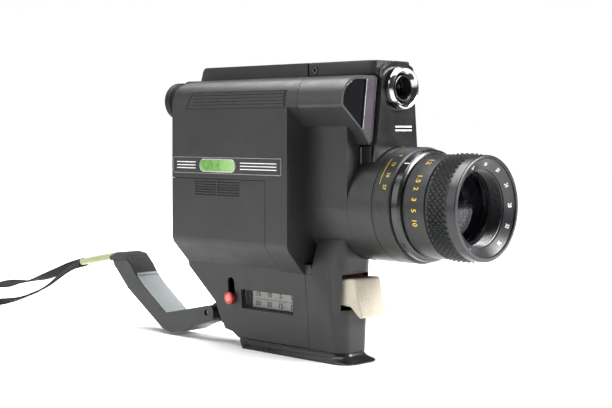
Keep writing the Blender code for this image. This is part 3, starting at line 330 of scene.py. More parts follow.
BODY = moulded("body_grey", (0.018, 0.0192, 0.0185), (0.024, 0.0255, 0.0245), 0.38,
               worn=(0.055, 0.055, 0.053), Specular_IOR_Level=0.4)
PANEL = moulded("panel_black", (0.009, 0.0085, 0.009), (0.014, 0.013, 0.014), 0.24, grain=0.9, depth=0.004,
                spread=0.05, worn=(0.08, 0.08, 0.08), dust=0.1, Specular_IOR_Level=0.35, Coat_Weight=0.15,
                Coat_Roughness=0.1)
WINDOW = moulded("window_black", (0.004, 0.004, 0.005), (0.007, 0.006, 0.008), 0.07, grain=1.4,
                 depth=0.001, spread=0.03, Coat_Weight=1.0, Coat_Roughness=0.03)
METER_TRIM = moulded("meter_trim", (0.05, 0.042, 0.052), (0.075, 0.064, 0.078), 0.16, grain=1.2,
                     depth=0.002, spread=0.05, Coat_Weight=0.6, Coat_Roughness=0.06)
FOOT = moulded("foot_black", (0.01, 0.01, 0.01), (0.016, 0.016, 0.016), 0.3, grain=0.8, depth=0.006,
               spread=0.06, worn=(0.1, 0.1, 0.098), dust=0.06, Specular_IOR_Level=0.4)
BLACK = moulded("matt_black", (0.012, 0.012, 0.012), (0.02, 0.02, 0.02), 0.5, grain=0.3)
# near-black for parts inside the body, also used as painted shade in grooves and recesses
INSIDE_AND_SHADE_BLACK = moulded("inside_and_painted_shade_black", (0.006, 0.006, 0.006), (0.01, 0.01, 0.01), 0.7, grain=0.5)
GREY = moulded("handle_grey", (0.024, 0.027, 0.026), (0.032, 0.036, 0.035), 0.36, grain=0.35,
               worn=(0.09, 0.093, 0.092), Specular_IOR_Level=0.4)
# pale grey: painted light on the handle's inner face, which is lit from above
LIT_FACE_GREY = moulded("painted_lit_face_grey", (0.2, 0.222, 0.22), (0.235, 0.26, 0.257), 0.4, grain=0.5)
# grey of the eyepiece tube, also the painted highlight on the handle's rim
TUBE_AND_HIGHLIGHT_GREY = moulded("tube_grey_and_painted_highlight", (0.2, 0.21, 0.21), (0.26, 0.27, 0.27), 0.34)
CREAM = moulded("trigger_cream", (0.45, 0.41, 0.32), (0.54, 0.5, 0.4), 0.34, grain=0.7, depth=0.006,
                worn=(0.8, 0.78, 0.7), Subsurface_Weight=0.12)
RED = moulded("knob_red", (0.5, 0.02, 0.02), (0.62, 0.035, 0.03), 0.3, grain=0.6, depth=0.004,
              Coat_Weight=0.5, Coat_Roughness=0.1)
RED_PALE = moulded("knob_centre", (0.75, 0.25, 0.2), (0.85, 0.35, 0.28), 0.35, grain=0.6, depth=0.004)
RUBBER = moulded("soft_rubber", (0.005, 0.005, 0.0055), (0.01, 0.01, 0.0105), 0.6, grain=0.25,
                 depth=0.02, dust=0.03, Specular_IOR_Level=0.3)
KNURL = moulded("knurl_rubber", (0.014, 0.016, 0.015), (0.03, 0.033, 0.031), 0.5, grain=0.3, depth=0.01,
                dust=0.12)
CARD = moulded("scale_card", (0.42, 0.42, 0.4), (0.52, 0.52, 0.5), 0.55, grain=0.3)
PRINT = moulded("print_dark", (0.006, 0.006, 0.006), (0.012, 0.012, 0.012), 0.5, grain=0.3)
WHITE = moulded("print_white", (0.72, 0.72, 0.7), (0.85, 0.85, 0.83), 0.45, grain=0.3)
YELLOW = moulded("print_yellow", (0.6, 0.4, 0.02), (0.75, 0.55, 0.04), 0.45, grain=0.3)
GREEN = moulded("chip_green", (0.1, 0.28, 0.04), (0.3, 0.5, 0.18), 0.28, grain=1.5, depth=0.003,
                Coat_Weight=0.5, Coat_Roughness=0.1)
SLEEVE = moulded("sleeve_vinyl", (0.27, 0.32, 0.17), (0.38, 0.43, 0.26), 0.42, grain=0.8, depth=0.01,
                 Subsurface_Weight=0.1)
BOARD = moulded("board_green", (0.02, 0.12, 0.05), (0.04, 0.18, 0.08), 0.4, grain=0.6)
CELL = moulded("cell_jacket", (0.03, 0.03, 0.05), (0.06, 0.06, 0.09), 0.3, Coat_Weight=0.4)
LENS_BLACK = turned_paint("lens_black", (0.02, 0.0215, 0.0205), (0.028, 0.03, 0.0285), 0.36,
                          Specular_IOR_Level=0.35)
RING_BLACK = turned_paint("ring_black", (0.008, 0.008, 0.009), (0.014, 0.014, 0.015), 0.24,
                          Coat_Weight=0.3, Coat_Roughness=0.1)
FRONT_BLACK = turned_paint("front_black", (0.016, 0.015, 0.018), (0.024, 0.022, 0.026), 0.3)
CHROME = metal("chrome", (0.4, 0.4, 0.41), (0.52, 0.52, 0.53), 0.14, grain=0.6, depth=0.002,
               spread=0.05)
# silver; also the finish of the painted highlights along the meter trim's edges
SILVER_AND_HIGHLIGHT = metal("silver_and_painted_highlight", (0.6, 0.6, 0.6), (0.75, 0.75, 0.74), 0.3)
STEEL = metal("steel", (0.38, 0.38, 0.38), (0.5, 0.5, 0.5), 0.34, streak=(1, 6, 1))
BRASS = metal("brass", (0.5, 0.34, 0.12), (0.66, 0.47, 0.18), 0.3, streak=(1, 6, 1))
GLASS = coated_glass("coated_glass", (0.8, 0.76, 0.92))
GLASS_INNER = coated_glass("coated_glass_inner", (0.14, 0.07, 0.16))
CLEAR = moulded("clear_window", (0.04, 0.042, 0.042), (0.07, 0.072, 0.072), 0.1, grain=1.2, depth=0.002,
                spread=0.04, Alpha=0.1)
WEBBING = webbing_finish("woven_webbing", (0.004, 0.004, 0.0045), (0.018, 0.018, 0.019))

FINISH_OF = {
    "body_plastic": BODY, "gloss_plastic": PANEL, "chrome": CHROME, "glass": GLASS,
    "black_plastic": BLACK, "grey_plastic": GREY, "rubber": RUBBER, "lens_metal": LENS_BLACK,
    "steel": STEEL, "brass": BRASS, "aluminium": INSIDE_AND_SHADE_BLACK, "board": BOARD, "cell_jacket": CELL,
    "scale_card": CARD, "red_plastic": RED, "cream_plastic": CREAM, "webbing": WEBBING,
    "sleeve": SLEEVE,
}


# ---- pieces

def finished(name, work, finish, body, slot, replaces=(), edge=0.0, segments=2, smooth=35.0, limit=32.0):
    """Turn a bmesh in lens millimetres into a piece that rides on a body."""
    bmesh.ops.transform(work, matrix=TO_ROW, verts=work.verts)
    mesh = bpy.data.meshes.new(name)
    work.to_mesh(mesh)
    work.free()
    mesh.materials.append(finish)
    piece = bpy.data.objects.new(name, mesh)
    scene.collection.objects.link(piece)
    mesh.shade_smooth()
    if edge:
        step = piece.modifiers.new("edges", "BEVEL")
        step.width = edge * MM
        step.segments = segments
        step.limit_method = "ANGLE"
        step.angle_limit = math.radians(limit)
        step.harden_normals = True
        step.use_clamp_overlap = True
        flatten = piece.modifiers.new("flat_faces", "WEIGHTED_NORMAL")
        flatten.mode = "FACE_AREA_WITH_ANGLE"
        flatten.weight = 90
        flatten.keep_sharp = True
    else:
        mesh.set_sharp_from_angle(angle=math.radians(smooth))
    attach(piece, body)
    if replaces:
        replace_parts(piece, *replaces)
    return piece


def in_place_of(node):
    """Body, slot and replaced node of a piece that is drawn in a CAD node's place."""
    return BODY_OF[node], SLOT_OF[node], (node,)


def redress(node, finish=None, edge=0.3, segments=2, limit=32.0):
    """A copy of a CAD node with clean faces, rounded edges and its finish."""
    work = bmesh.new()
    work.from_mesh(frame["nodes"][node].data)
    bmesh.ops.transform(work, matrix=TO_ROW.inverted(), verts=work.verts)
    bmesh.ops.remove_doubles(work, verts=work.verts, dist=0.003)
    bmesh.ops.dissolve_limit(work, angle_limit=math.radians(0.6), verts=work.verts, edges=work.edges)
    return finished(node + "_surface", work, finish or FINISH_OF[SLOT_OF[node]],
                    *in_place_of(node), edge, segments, limit=limit)


def face_out(work):
    """Point every face of a closed bmesh outwards."""
    bmesh.ops.recalc_face_normals(work, faces=work.faces)


def rounded(corners, steps=8):
    """An outline from corners (u, v) or (u, v, radius), with the radii as arcs."""
    outline = []
    for index, corner in enumerate(corners):
        here = Vector(corner[:2])
        if len(corner) == 2:
            outline.append(here)
            continue
        before = (Vector(corners[index - 1][:2]) - here).normalized()
        after = (Vector(corners[(index + 1) % len(corners)][:2]) - here).normalized()
        half = before.angle(after) / 2
        radius = corner[2]
        centre = here + (before + after).normalized() * (radius / math.sin(half))
        start = here + before * (radius / math.tan(half)) - centre
        end = here + after * (radius / math.tan(half)) - centre
        sweep = start.angle_signed(end)
        for step in range(steps + 1):
            outline.append(centre + Matrix.Rotation(-sweep * step / steps, 2) @ start)
    return outline


def plate(corners, axis, low, high, steps=8):
    """A bmesh prism: the outline (two lens-frame coordinates) between low and high along the axis."""
    work = bmesh.new()
    order = {"X": (2, 0, 1), "Y": (0, 2, 1), "Z": (0, 1, 2)}[axis]
    ends = []
    for level in (low, high):
        ring = []
        for u, v in rounded(corners, steps):
            spot = (u, v, level)
            ring.append(work.verts.new([spot[order[k]] for k in range(3)]))
        ends.append(ring)
    work.faces.new(ends[0])
    work.faces.new(ends[1][::-1])
    count = len(ends[0])
    for k in range(count):
        work.faces.new((ends[0][k], ends[1][k], ends[1][(k + 1) % count], ends[0][(k + 1) % count]))
    face_out(work)
    return work


def join_rings(work, rings):
    """Faces between each ring of vertices and the next."""
    count = len(rings[0])
    for here, after in zip(rings, rings[1:]):
        for k in range(count):
            work.faces.new((here[k], here[(k + 1) % count], after[(k + 1) % count], after[k]))


def capped_tube(work, rings):
    """Join the rings, close both ends and point the faces out."""
    join_rings(work, rings)
    work.faces.new(rings[0])
    work.faces.new(rings[-1][::-1])
    face_out(work)


def turned(profile, centre=(0.0, 0.0), sides=128, ripple=None):
    """A bmesh turned about an axis along Y. The profile is a closed loop of (radius, Y); centre is X, Z.

    ripple(step, radius, y) may change the radius round the axis, for ribs."""
    work = bmesh.new()
    rings = []
    for step in range(sides):
        turn = 2 * math.pi * step / sides
        ring = []
        for radius, y in profile:
            r = ripple(step, radius, y) if ripple else radius
            ring.append(work.verts.new((centre[0] + r * math.sin(turn), y,
                                        centre[1] + r * math.cos(turn))))
        rings.append(ring)
    join_rings(work, rings + rings[:1])
    bmesh.ops.remove_doubles(work, verts=work.verts, dist=TINY)
    bmesh.ops.dissolve_degenerate(work, edges=work.edges, dist=TINY)
    face_out(work)
    return work


def text_mesh(words, size, depth=0.12):
    """Flat numerals, centred on the origin, with X along the line and Y up, in millimetres."""
    curve = bpy.data.curves.new("numerals", "FONT")
    curve.body = words
    curve.size = size
    curve.align_x = "CENTER"
    curve.align_y = "CENTER"
    curve.extrude = depth / 2
    curve.offset = 0.012 * size
    curve.resolution_u = 3
    holder = bpy.data.objects.new("numerals", curve)
    scene.collection.objects.link(holder)
    bpy.context.view_layer.update()
    mesh = bpy.data.meshes.new_from_object(holder.evaluated_get(bpy.context.evaluated_depsgraph_get()))
    bpy.data.objects.remove(holder)
    work = bmesh.new()
    work.from_mesh(mesh)
    bmesh.ops.remove_doubles(work, verts=work.verts, dist=TINY)
    bpy.data.meshes.remove(mesh)
    return work


def gather(target, source):
    """Add a bmesh to another and free it."""
    mesh = bpy.data.meshes.new("gathered")
    source.to_mesh(mesh)
    source.free()
    target.from_mesh(mesh)
    bpy.data.meshes.remove(mesh)


def round_the_lens(work, radius, angle, y):
    """Wrap a flat bmesh on a lens ring, reading downwards on the right-hand side, tops to the front."""
    for vertex in work.verts:
        x, v, z = vertex.co
        turn = angle - x / radius
        r = radius + z
        vertex.co = (r * math.sin(turn), y - v, r * math.cos(turn))
    return work


def facing_side(work, spot):
    """Turn a bmesh so that its front, at low Y, faces -X, and move it to a spot."""
    bmesh.ops.rotate(work, matrix=Matrix.Rotation(math.radians(-90), 3, "Z"), verts=work.verts)
    bmesh.ops.translate(work, vec=spot, verts=work.verts)
    return work


def box_work(x, y, z):
    """A bmesh box from its low and high X, Y and Z."""
    work = bmesh.new()
    bmesh.ops.create_cube(work, size=1.0)
    size = Vector((x[1] - x[0], y[1] - y[0], z[1] - z[0]))
    middle = Vector((x[0] + x[1], y[0] + y[1], z[0] + z[1])) / 2
    bmesh.ops.scale(work, vec=size, verts=work.verts)
    bmesh.ops.translate(work, vec=middle, verts=work.verts)
    return work


def boxes(spans):
    """One bmesh of several boxes."""
    work = bmesh.new()
    for x, y, z in spans:
        gather(work, box_work(x, y, z))
    return work


def pad(y, z, radius, low, high):
    """A flat rectangle with round corners, facing along X."""
    return plate([(y[0], z[0], radius), (y[1], z[0], radius), (y[1], z[1], radius),
                  (y[0], z[1], radius)], "X", low, high)


def grip_side(z):
    """X of the grip's right-hand side plane at height z."""
    return GRIP_MID - GRIP_HALF + (GRIP_TOP - z) * GRIP_DRAFT


def shoulder_x(z):
    """X of the battery bulge's outside at height z, which is round above its straight side."""
    above = z - (BODY_TOP - SHOULDER_R)
    if above <= 0:
        return BULGE_X
    return BULGE_X + SHOULDER_R - math.sqrt(SHOULDER_R ** 2 - above ** 2)


def smooth_route(corners, samples):
    """Points of a smooth curve through the corners (Catmull-Rom)."""
    spots = [Vector(corner) for corner in corners]
    spots = [2 * spots[0] - spots[1]] + spots + [2 * spots[-1] - spots[-2]]
    route = []
    for a, b, c, d in zip(spots, spots[1:], spots[2:], spots[3:]):
        for step in range(samples):
            t = step / samples
            route.append(0.5 * (2 * b + (c - a) * t + (2 * a - 5 * b + 4 * c - d) * t * t
                                + (3 * b - a - 3 * c + d) * t * t * t))
    route.append(spots[-2])
    return route


# ---- strap

STRAP_ROUTE = (
    (-20.3, 351.6, -53.6), (-20.0, 364.1, -58.4), (-19.0, 380.7, -66.5), (-19.5, 396.9, -75.2),
    (-22.5, 409.5, -81.2), (-27.5, 423.0, -86.0), (-34.0, 437.5, -89.2), (-42.0, 454.0, -91.0),
    (-48.5, 471.0, -91.4), (-52.0, 490.0, -91.4), (-51.5, 509.0, -91.4), (-46.5, 526.0, -91.4),
    (-36.5, 539.0, -91.4), (-22.5, 545.5, -91.4), (-8.5, 541.5, -90.8), (0.0, 529.5, -89.0),
    (3.6, 512.0, -86.4), (2.0, 492.5, -83.4), (-2.0, 470.0, -80.2), (-6.0, 450.0, -77.4),
    (-9.0, 431.0, -74.3), (-11.6, 411.5, -69.9), (-13.4, 391.0, -64.0), (-14.8, 372.0, -58.2),
    (-15.7, 351.6, -53.2),
)
WEBBING_WIDTH = 7.0
WEBBING_THICK = 1.3
SELVEDGE = 0.25
# twist of the tape about its own line, in degrees from lying flat, at shares of its length
STRAP_TWIST = ((0.0, 55.0), (0.08, 42.0), (0.155, 2.0), (0.24, -50.0), (0.31, -10.0), (0.6, -10.0),
               (0.70, -55.0), (0.79, -6.0), (0.9, 44.0), (1.0, 58.0))


def twist_at(share):
    """The tape's twist at a share of its length, eased between the places in the list."""
    for (s0, t0), (s1, t1) in zip(STRAP_TWIST, STRAP_TWIST[1:]):
        if share <= s1:
            part = (share - s0) / (s1 - s0)
            part = part * part * (3 - 2 * part)
            return math.radians(t0 + (t1 - t0) * part)
    return math.radians(STRAP_TWIST[-1][1])


def make_strap():
    """Woven wrist strap: a flat tape along the route, and the vinyl sleeve that joins its ends."""
    route = smooth_route(STRAP_ROUTE, 6)
    lengths = [0.0]
    for a, b in zip(route, route[1:]):
        lengths.append(lengths[-1] + (b - a).length)
    half, thick = WEBBING_WIDTH / 2, WEBBING_THICK / 2
    under_side = [(-half, -0.3 * thick), (-half + SELVEDGE, -thick), (-half / 3, -thick * 1.05),
                  (half / 3, -thick * 1.05), (half - SELVEDGE, -thick), (half, -0.3 * thick)]
    section = under_side + [(w, -t) for w, t in reversed(under_side)]
    work = bmesh.new()
    uv = work.loops.layers.uv.new("UVMap")
    rings = []
    for index, spot in enumerate(route):
        ahead = route[min(index + 1, len(route) - 1)] - route[max(index - 1, 0)]
        ahead.normalize()
        flat = ahead.cross(Vector((0, 0, 1))).normalized()
        up = flat.cross(ahead).normalized()
        turn = twist_at(lengths[index] / lengths[-1])
        wide = flat * math.cos(turn) + up * math.sin(turn)
        out = up * math.cos(turn) - flat * math.sin(turn)
        rings.append([work.verts.new(spot + wide * w + out * t) for w, t in section])
    count = len(section)
    around = [0.0]
    for a, b in zip(section, section[1:] + section[:1]):
        around.append(around[-1] + math.dist(a, b))
    for index in range(len(rings) - 1):
        for k in range(count):
            face = work.faces.new((rings[index][k], rings[index][(k + 1) % count],
                                   rings[index + 1][(k + 1) % count], rings[index + 1][k]))
            spots = ((lengths[index], around[k]), (lengths[index], around[k + 1]),
                     (lengths[index + 1], around[k + 1]), (lengths[index + 1], around[k]))
            for loop, place in zip(face.loops, spots):
                loop[uv].uv = place
    work.faces.new(rings[0][::-1])
    work.faces.new(rings[-1])
    face_out(work)
    bmesh.ops.transform(work, matrix=TO_ROW, verts=work.verts)
    mesh = bpy.data.meshes.new("wrist_strap")
    work.to_mesh(mesh)
    work.free()
    mesh.materials.append(WEBBING)
    mesh.shade_smooth()
    mesh.set_sharp_from_angle(angle=math.radians(50))
    strap = bpy.data.objects.new("wrist_strap", mesh)
    scene.collection.objects.link(strap)
    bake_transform(strap)
    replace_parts(strap, "strap")
    sleeve = make_sleeve()


def make_sleeve():
    """Soft vinyl sleeve on the strap's two ends, with a crimp near each end."""
    spine = [Vector((-17.9, y, z)) for y, z in ((308.1, -45.35), (312, -45.9), (320, -47.3),
                                                (330, -49.1), (340, -51.0), (347, -52.4),
                                                (350.6, -53.0))]
    spine = smooth_route(spine, 4)
    last = len(spine) - 1
    half_wide, half_thick, power, sides = 4.2, 2.35, 0.55, 28
    wide = Vector((1, 0, 0))
    work = bmesh.new()
    rings = []
    for index, spot in enumerate(spine):
        ahead = (spine[min(index + 1, last)] - spine[max(index - 1, 0)]).normalized()
        up = wide.cross(ahead).normalized()
        share = index / last
        end = min(share, 1 - share)
        first_crimp = 0.1 * math.exp(-(share - 0.1) ** 2 / 0.001)
        last_crimp = 0.12 * math.exp(-(share - 0.9) ** 2 / 0.0012)
        swell = 1.0 - first_crimp - last_crimp
        rim = min(1.0, 0.9 + end * 4)
        ring = []
        for k in range(sides):
            turn = 2 * math.pi * k / sides
            c, s = math.cos(turn), math.sin(turn)
            w = half_wide * math.copysign(abs(c) ** power, c) * rim
            t = half_thick * math.copysign(abs(s) ** power, s) * swell * rim
            ring.append(work.verts.new(spot + wide * w + up * t))
        rings.append(ring)
    capped_tube(work, rings)
    return finished("strap_sleeve_vinyl", work, SLEEVE, *in_place_of("strap_sleeve"), smooth=50)


# ---- lens

def make_front_ring():
    """Front ring with its rim, the bevel that carries small numerals, the ribbed light tunnel, and the
    front glass with its retaining ring."""
    (inner_r, inner_y), (outer_r, outer_y) = (22.25, 4.45), (27.35, 1.4)     # the bevel's two edges
    profile = [(27.75, 0.0), (28.9, 0.0), (29.6, 0.25), (29.95, 0.75), (30.0, 1.3), (30.0, 5.9),
               (29.8, 6.25), (29.3, 6.3), (25.9, 6.3), (25.9, 22.0), (21.5, 22.0), (21.5, 13.2)]
    ribs, first_rib, rib_pitch = 11, 13.0, 0.72
    crest_r, groove_r = 21.55, 21.95
    for k in range(ribs):
        y = first_rib - k * rib_pitch
        profile += [(crest_r, y), (groove_r, y - 0.2), (groove_r, y - 0.5)]
    profile += [(22.0, 4.7), (inner_r, inner_y), (outer_r, outer_y), (27.6, 1.2), (27.6, 0.15)]
    finished("front_ring_surface", turned(profile, sides=160), FRONT_BLACK,
             *in_place_of("front_ring"), smooth=24)
    marks = bmesh.new()
    numeral_r, sunk = 24.9, 0.03
    for angle, words in ((-52, "8"), (-24, "12"), (4, "16"), (32, "20"), (60, "24"), (88, "28"),
                         (116, "32"), (144, "36"), (-98, "•"), (-150, "•")):
        numeral = text_mesh(words, 2.7, 0.08)
        for vertex in numeral.verts:
            x, v, z = vertex.co
            r = numeral_r + v
            turn = math.radians(angle) + x / numeral_r
            face_y = outer_y + (outer_r - r) * (inner_y - outer_y) / (outer_r - inner_r)
            vertex.co = (r * math.sin(turn), face_y - z - sunk, r * math.cos(turn))
        gather(marks, numeral)
    finished("front_ring_numerals", marks, WHITE, "focus_group", "lens_metal")
    dome = [(0.0, 13.6), (4.0, 13.72), (8.0, 14.0), (12.0, 14.5), (16.0, 15.35), (19.0, 16.3),
            (21.0, 17.2), (21.1, 17.4), (21.1, 20.0), (19.0, 19.7), (12.0, 18.6), (6.0, 18.1),
            (0.0, 18.0)]
    finished("front_glass", turned(dome, sides=96), GLASS, *in_place_of("front_element"), smooth=30)
    retainer = [(19.4, 13.4), (21.45, 13.3), (21.45, 14.4), (20.9, 16.9), (20.3, 16.6), (19.4, 14.0)]
    finished("front_glass_ring", turned(retainer, sides=128), RING_BLACK, "focus_group", "lens_metal",
             smooth=30)


def make_focus_ring():
    """Focusing ring: a smooth band with yellow numerals, and a belt of knurled rubber pyramids."""
    band = [(29.1, 6.65), (29.1, 21.7), (29.75, 21.75), (30.0, 22.0), (30.0, 36.5), (29.7, 36.95),
            (26.6, 36.95), (26.6, 6.65)]
    finished("focus_ring_surface", turned(band, sides=160), LENS_BLACK,
             *in_place_of("focus_ring"), smooth=25)
    work = bmesh.new()
    round_count, rows = 108, 8
    first_y, last_y = 6.75, 21.5
    tip_r, root_r, inside_r = 31.0, 29.15, 29.0
    grid = []
    for row in range(rows + 1):
        y = first_y + (last_y - first_y) * row / rows
        ring = []
        for step in range(round_count):
            high = (row + step) % 2 == 0 and 0 < row < rows
            r = tip_r if high else root_r
            turn = 2 * math.pi * step / round_count
            ring.append(work.verts.new((r * math.sin(turn), y, r * math.cos(turn))))
        grid.append(ring)
    for row in range(rows):
        for step in range(round_count):
            a, b = grid[row][step], grid[row][(step + 1) % round_count]
            c, d = grid[row + 1][(step + 1) % round_count], grid[row + 1][step]
            if (row + step) % 2 == 0:
                work.faces.new((a, b, d))
                work.faces.new((b, c, d))
            else:
                work.faces.new((a, b, c))
                work.faces.new((a, c, d))
    inner = []
    for y in (first_y, last_y):
        inner.append([work.verts.new((inside_r * math.sin(2 * math.pi * k / round_count), y,
                                      inside_r * math.cos(2 * math.pi * k / round_count)))
                      for k in range(round_count)])
    for k in range(round_count):
        after = (k + 1) % round_count
        work.faces.new((grid[0][k], inner[0][k], inner[0][after], grid[0][after]))
        work.faces.new((grid[-1][k], grid[-1][after], inner[1][after], inner[1][k]))
        work.faces.new((inner[0][k], inner[1][k], inner[1][after], inner[0][after]))
    face_out(work)
    finished("focus_grip", work, KNURL, "focus_group", "rubber", smooth=12)
    marks = bmesh.new()
    numeral_r, numeral_y = FOCUS_R + 0.02, 29.0
    for angle, words in ((-56, "1.5"), (-68, "2"), (-80, "3"), (-92, "5"), (-105, "10"), (-30, "1.2"),
                         (-4, "1"), (30, "0.8"), (70, "0.5")):
        gather(marks, round_the_lens(text_mesh(words, 4.6), numeral_r, math.radians(angle), numeral_y))
    finished("focus_numerals", marks, YELLOW, "focus_group", "lens_metal")


def make_zoom_ring():
    """Index ring with its mark, and the zoom ring with its scale and grub screw."""
    index = [(30.5, 37.35), (31.4, 37.6), (32.3, 38.2), (32.6, 38.8), (32.6, 42.9), (32.3, 43.15),
             (26.5, 43.15), (26.5, 37.35)]
    finished("index_ring_surface", turned(index, sides=160), RING_BLACK,
             *in_place_of("index_ring"), smooth=25)
    dot = round_the_lens(box_work((-0.35, 0.35), (-2.0, 2.0), (-0.06, 0.06)), 32.62,
                         math.radians(-40), 40.8)
    finished("index_mark", dot, WHITE, "camera_body", "lens_metal")
    ring = [(33.0, 43.55), (33.7, 43.7), (34.0, 44.4), (34.0, 54.6), (33.82, 54.75), (33.82, 55.05),
            (34.0, 55.2), (34.0, 56.2), (33.8, 56.45), (26.6, 56.45), (26.6, 43.55)]
    finished("zoom_ring_surface", turned(ring, sides=160), LENS_BLACK,
             *in_place_of("zoom_ring"), smooth=20)
    marks = bmesh.new()
    mark_r, numeral_y, line_y = LENS_R + 0.02, 48.4, 52.4
    for angle, words in ((-70, "27"), (-57, "18"), (-44, "13"), (-31, "9")):
        gather(marks, round_the_lens(text_mesh(words, 3.2), mark_r, math.radians(angle), numeral_y))
    line_start, line_step, line_count = -67, 1.4, 22
    for step in range(line_count):
        a0, a1 = line_start + step * line_step, line_start + (step + 1) * line_step
        arc = box_work((-0.42, 0.42), (-0.16, 0.16), (-0.05, 0.05))
        gather(marks, round_the_lens(arc, mark_r, math.radians((a0 + a1) / 2), line_y))
    finished("zoom_numerals", marks, YELLOW, "zoom_group", "lens_metal")
    screw_y, screw_z = 50.2, 1.0
    screw = turned([(0, 1.0), (0.6, 1.0), (0.66, 0.3), (1.3, 0.3), (1.45, 0.5), (1.45, 2.2), (0, 2.2)],
                   sides=24)
    finished("zoom_grub_screw", facing_side(screw, (-34.2, screw_y, screw_z)), STEEL,
             *in_place_of("zoom_ring_screw"), smooth=30)
    # Painted shade: a near-black ring round the grub screw, where its hole is shaded.
    well = turned([(1.5, -0.04), (2.0, -0.04), (2.0, 0.3), (1.5, 0.3)], sides=32)
    finished("zoom_screw_painted_shade", facing_side(well, (-LENS_R, screw_y, screw_z)), INSIDE_AND_SHADE_BLACK, "zoom_group",
             "lens_metal", smooth=30)


def make_neck_back():
    """Wall that closes the neck behind the lens, on the side where the body is narrower than the neck."""
    reach, chord, steps = 33.7, 14.4, 32       # the wall's radius, X of its straight edge, the arc's steps
    half_turn = math.acos(chord / reach)
    edge = []
    for step in range(steps + 1):
        turn = half_turn - 2 * half_turn * step / steps
        edge.append((reach * math.cos(turn), reach * math.sin(turn)))
    finished("neck_back_wall", plate(edge, "Y", NECK_BACK - 1.6, NECK_BACK - 0.2), BODY, "camera_body",
             "body_plastic", edge=0.4, segments=3)


def make_inner_lens():
    """The zoom glass in its dark holder, and the dark rear cell, behind the front glass."""
    cell = [(0.0, 30.5), (6.0, 30.2), (12.0, 29.4), (15.0, 28.8), (15.0, 36.8), (8.0, 34.8), (0.0, 34.0)]
    finished("zoom_glass", turned(cell, sides=96), GLASS_INNER, *in_place_of("zoom_lens_cell"), smooth=30)
    holder = [(15.1, 28.5), (16.0, 28.2), (19.5, 28.2), (19.5, 37.0), (15.1, 37.0)]
    finished("zoom_glass_holder", turned(holder, sides=96), RING_BLACK, "zoom_cell", "glass", smooth=30)
    redress("rear_lens_cell", RING_BLACK, edge=0.0)


# ---- finder and eyepiece

def make_finder():
    """The finder's bright bezel, the dark well inside it, and its front glass."""
    bezel = [(9.0, 64.9), (7.5, 64.9), (7.7, 62.0), (8.3, 60.2), (9.2, 59.2), (9.7, 58.7), (10.3, 58.1),
             (11.0, 57.75), (11.5, 57.65), (12.2, 58.0), (12.75, 58.9), (13.0, 60.2), (13.0, 62.15),
             (9.0, 62.15)]
    finished("finder_bezel_surface", turned(bezel, FINDER, 128), CHROME,
             *in_place_of("finder_bezel"), smooth=30)
    well = [(7.45, 64.8), (7.45, 59.7), (7.15, 59.6), (6.7, 62.0), (6.6, 64.8)]
    finished("finder_well", turned(well, FINDER, 96), RING_BLACK, "camera_body", "black_plastic", smooth=30)
    lens = [(0.0, 65.6), (3.0, 65.75), (5.0, 66.15), (6.1, 66.6), (6.1, 69.0), (0.0, 69.0)]
    finished("finder_glass", turned(lens, (FINDER[0], FINDER[1] - 0.5), 64), GLASS,
             *in_place_of("finder_front_lens"), smooth=30)


def make_eyepiece():
    """The ridged eyecup, the ribbed dioptre ring, the eyepiece's glass and its tube."""
    ridges = 5
    cup = [(8.2, 251.0), (9.6, 251.0)]
    for k in range(ridges):
        share = k / ridges
        r = 9.7 + 3.0 * share
        y = 251.4 + 7.6 * share
        cup += [(r, y), (r + 0.55, y + 0.25), (r + 0.6, y + 0.85), (r + 0.15, y + 1.1)]
    cup += [(12.6, 260.2), (12.7, 262.3), (12.3, 263.2), (11.6, 263.4), (10.9, 262.6), (9.8, 261.0),
            (8.6, 259.4), (7.4, 257.6), (7.2, 257.0), (7.2, 254.4), (8.2, 254.4)]
    finished("eyecup_surface", turned(cup, EYE, 96), RUBBER, *in_place_of("eyecup"), smooth=28)
    rib_front, rib_back, crest, groove = 238.0, 249.6, 0.12, -0.22
    ring = [(8.2, 236.1), (9.7, 236.1), (9.9, 236.6), (10.3, rib_front), (10.3, rib_back), (9.9, 250.3),
            (8.2, 250.3)]

    def ribs(step, radius, y):
        if radius > 10 and rib_front <= y <= rib_back:
            return radius + (crest if step % 4 < 2 else groove)
        return radius

    finished("dioptre_ring_surface", turned(ring, EYE, 144, ribs), BLACK,
             *in_place_of("dioptre_ring"), smooth=24)
    lens = [(0.0, 249.8), (3.0, 249.95), (6.0, 250.6), (6.0, 253.0), (3.0, 253.5), (0.0, 253.6)]
    finished("eyepiece_glass", turned(lens, EYE, 64), GLASS, *in_place_of("eyepiece_lens"), smooth=30)
    redress("eyepiece_tube", TUBE_AND_HIGHLIGHT_GREY, edge=0.2)


# ---- body

def make_label():
    """Label strip on the battery bulge, with a plain green chip and plain lines."""
    x = BULGE_X
    finished("label_strip", pad((113.6, 212.6), (16.3, 27.2), 0.8, x - 0.22, x + 0.05), BODY,
             "camera_body", "body_plastic", edge=0.1)
    outline = boxes(((x - 0.3, x - 0.15), y, z) for y, z in (
        ((113.9, 212.3), (26.55, 26.85)), ((113.9, 212.3), (16.65, 16.95)),
        ((113.9, 114.2), (16.65, 26.85)), ((212.0, 212.3), (16.65, 26.85))))
    finished("label_outline", outline, STEEL, "camera_body", "chrome")
    finished("label_chip", pad((154.4, 186.2), (18.2, 25.3), 3.4, x - 0.5, x - 0.15), GREEN,
             "camera_body", "sleeve", edge=0.15)
    finished("label_chip_rim", pad((153.8, 186.8), (17.6, 25.9), 4.0, x - 0.34, x - 0.15), SILVER_AND_HIGHLIGHT,
             "camera_body", "chrome", edge=0.05)
    lines = boxes(((x - 0.3, x - 0.15), span, (z, z + 0.55))
                  for span in ((118.0, 149.5), (190.5, 208.5)) for z in (19.6, 21.5, 23.4))
    finished("label_lines", lines, WHITE, "camera_body", "scale_card")


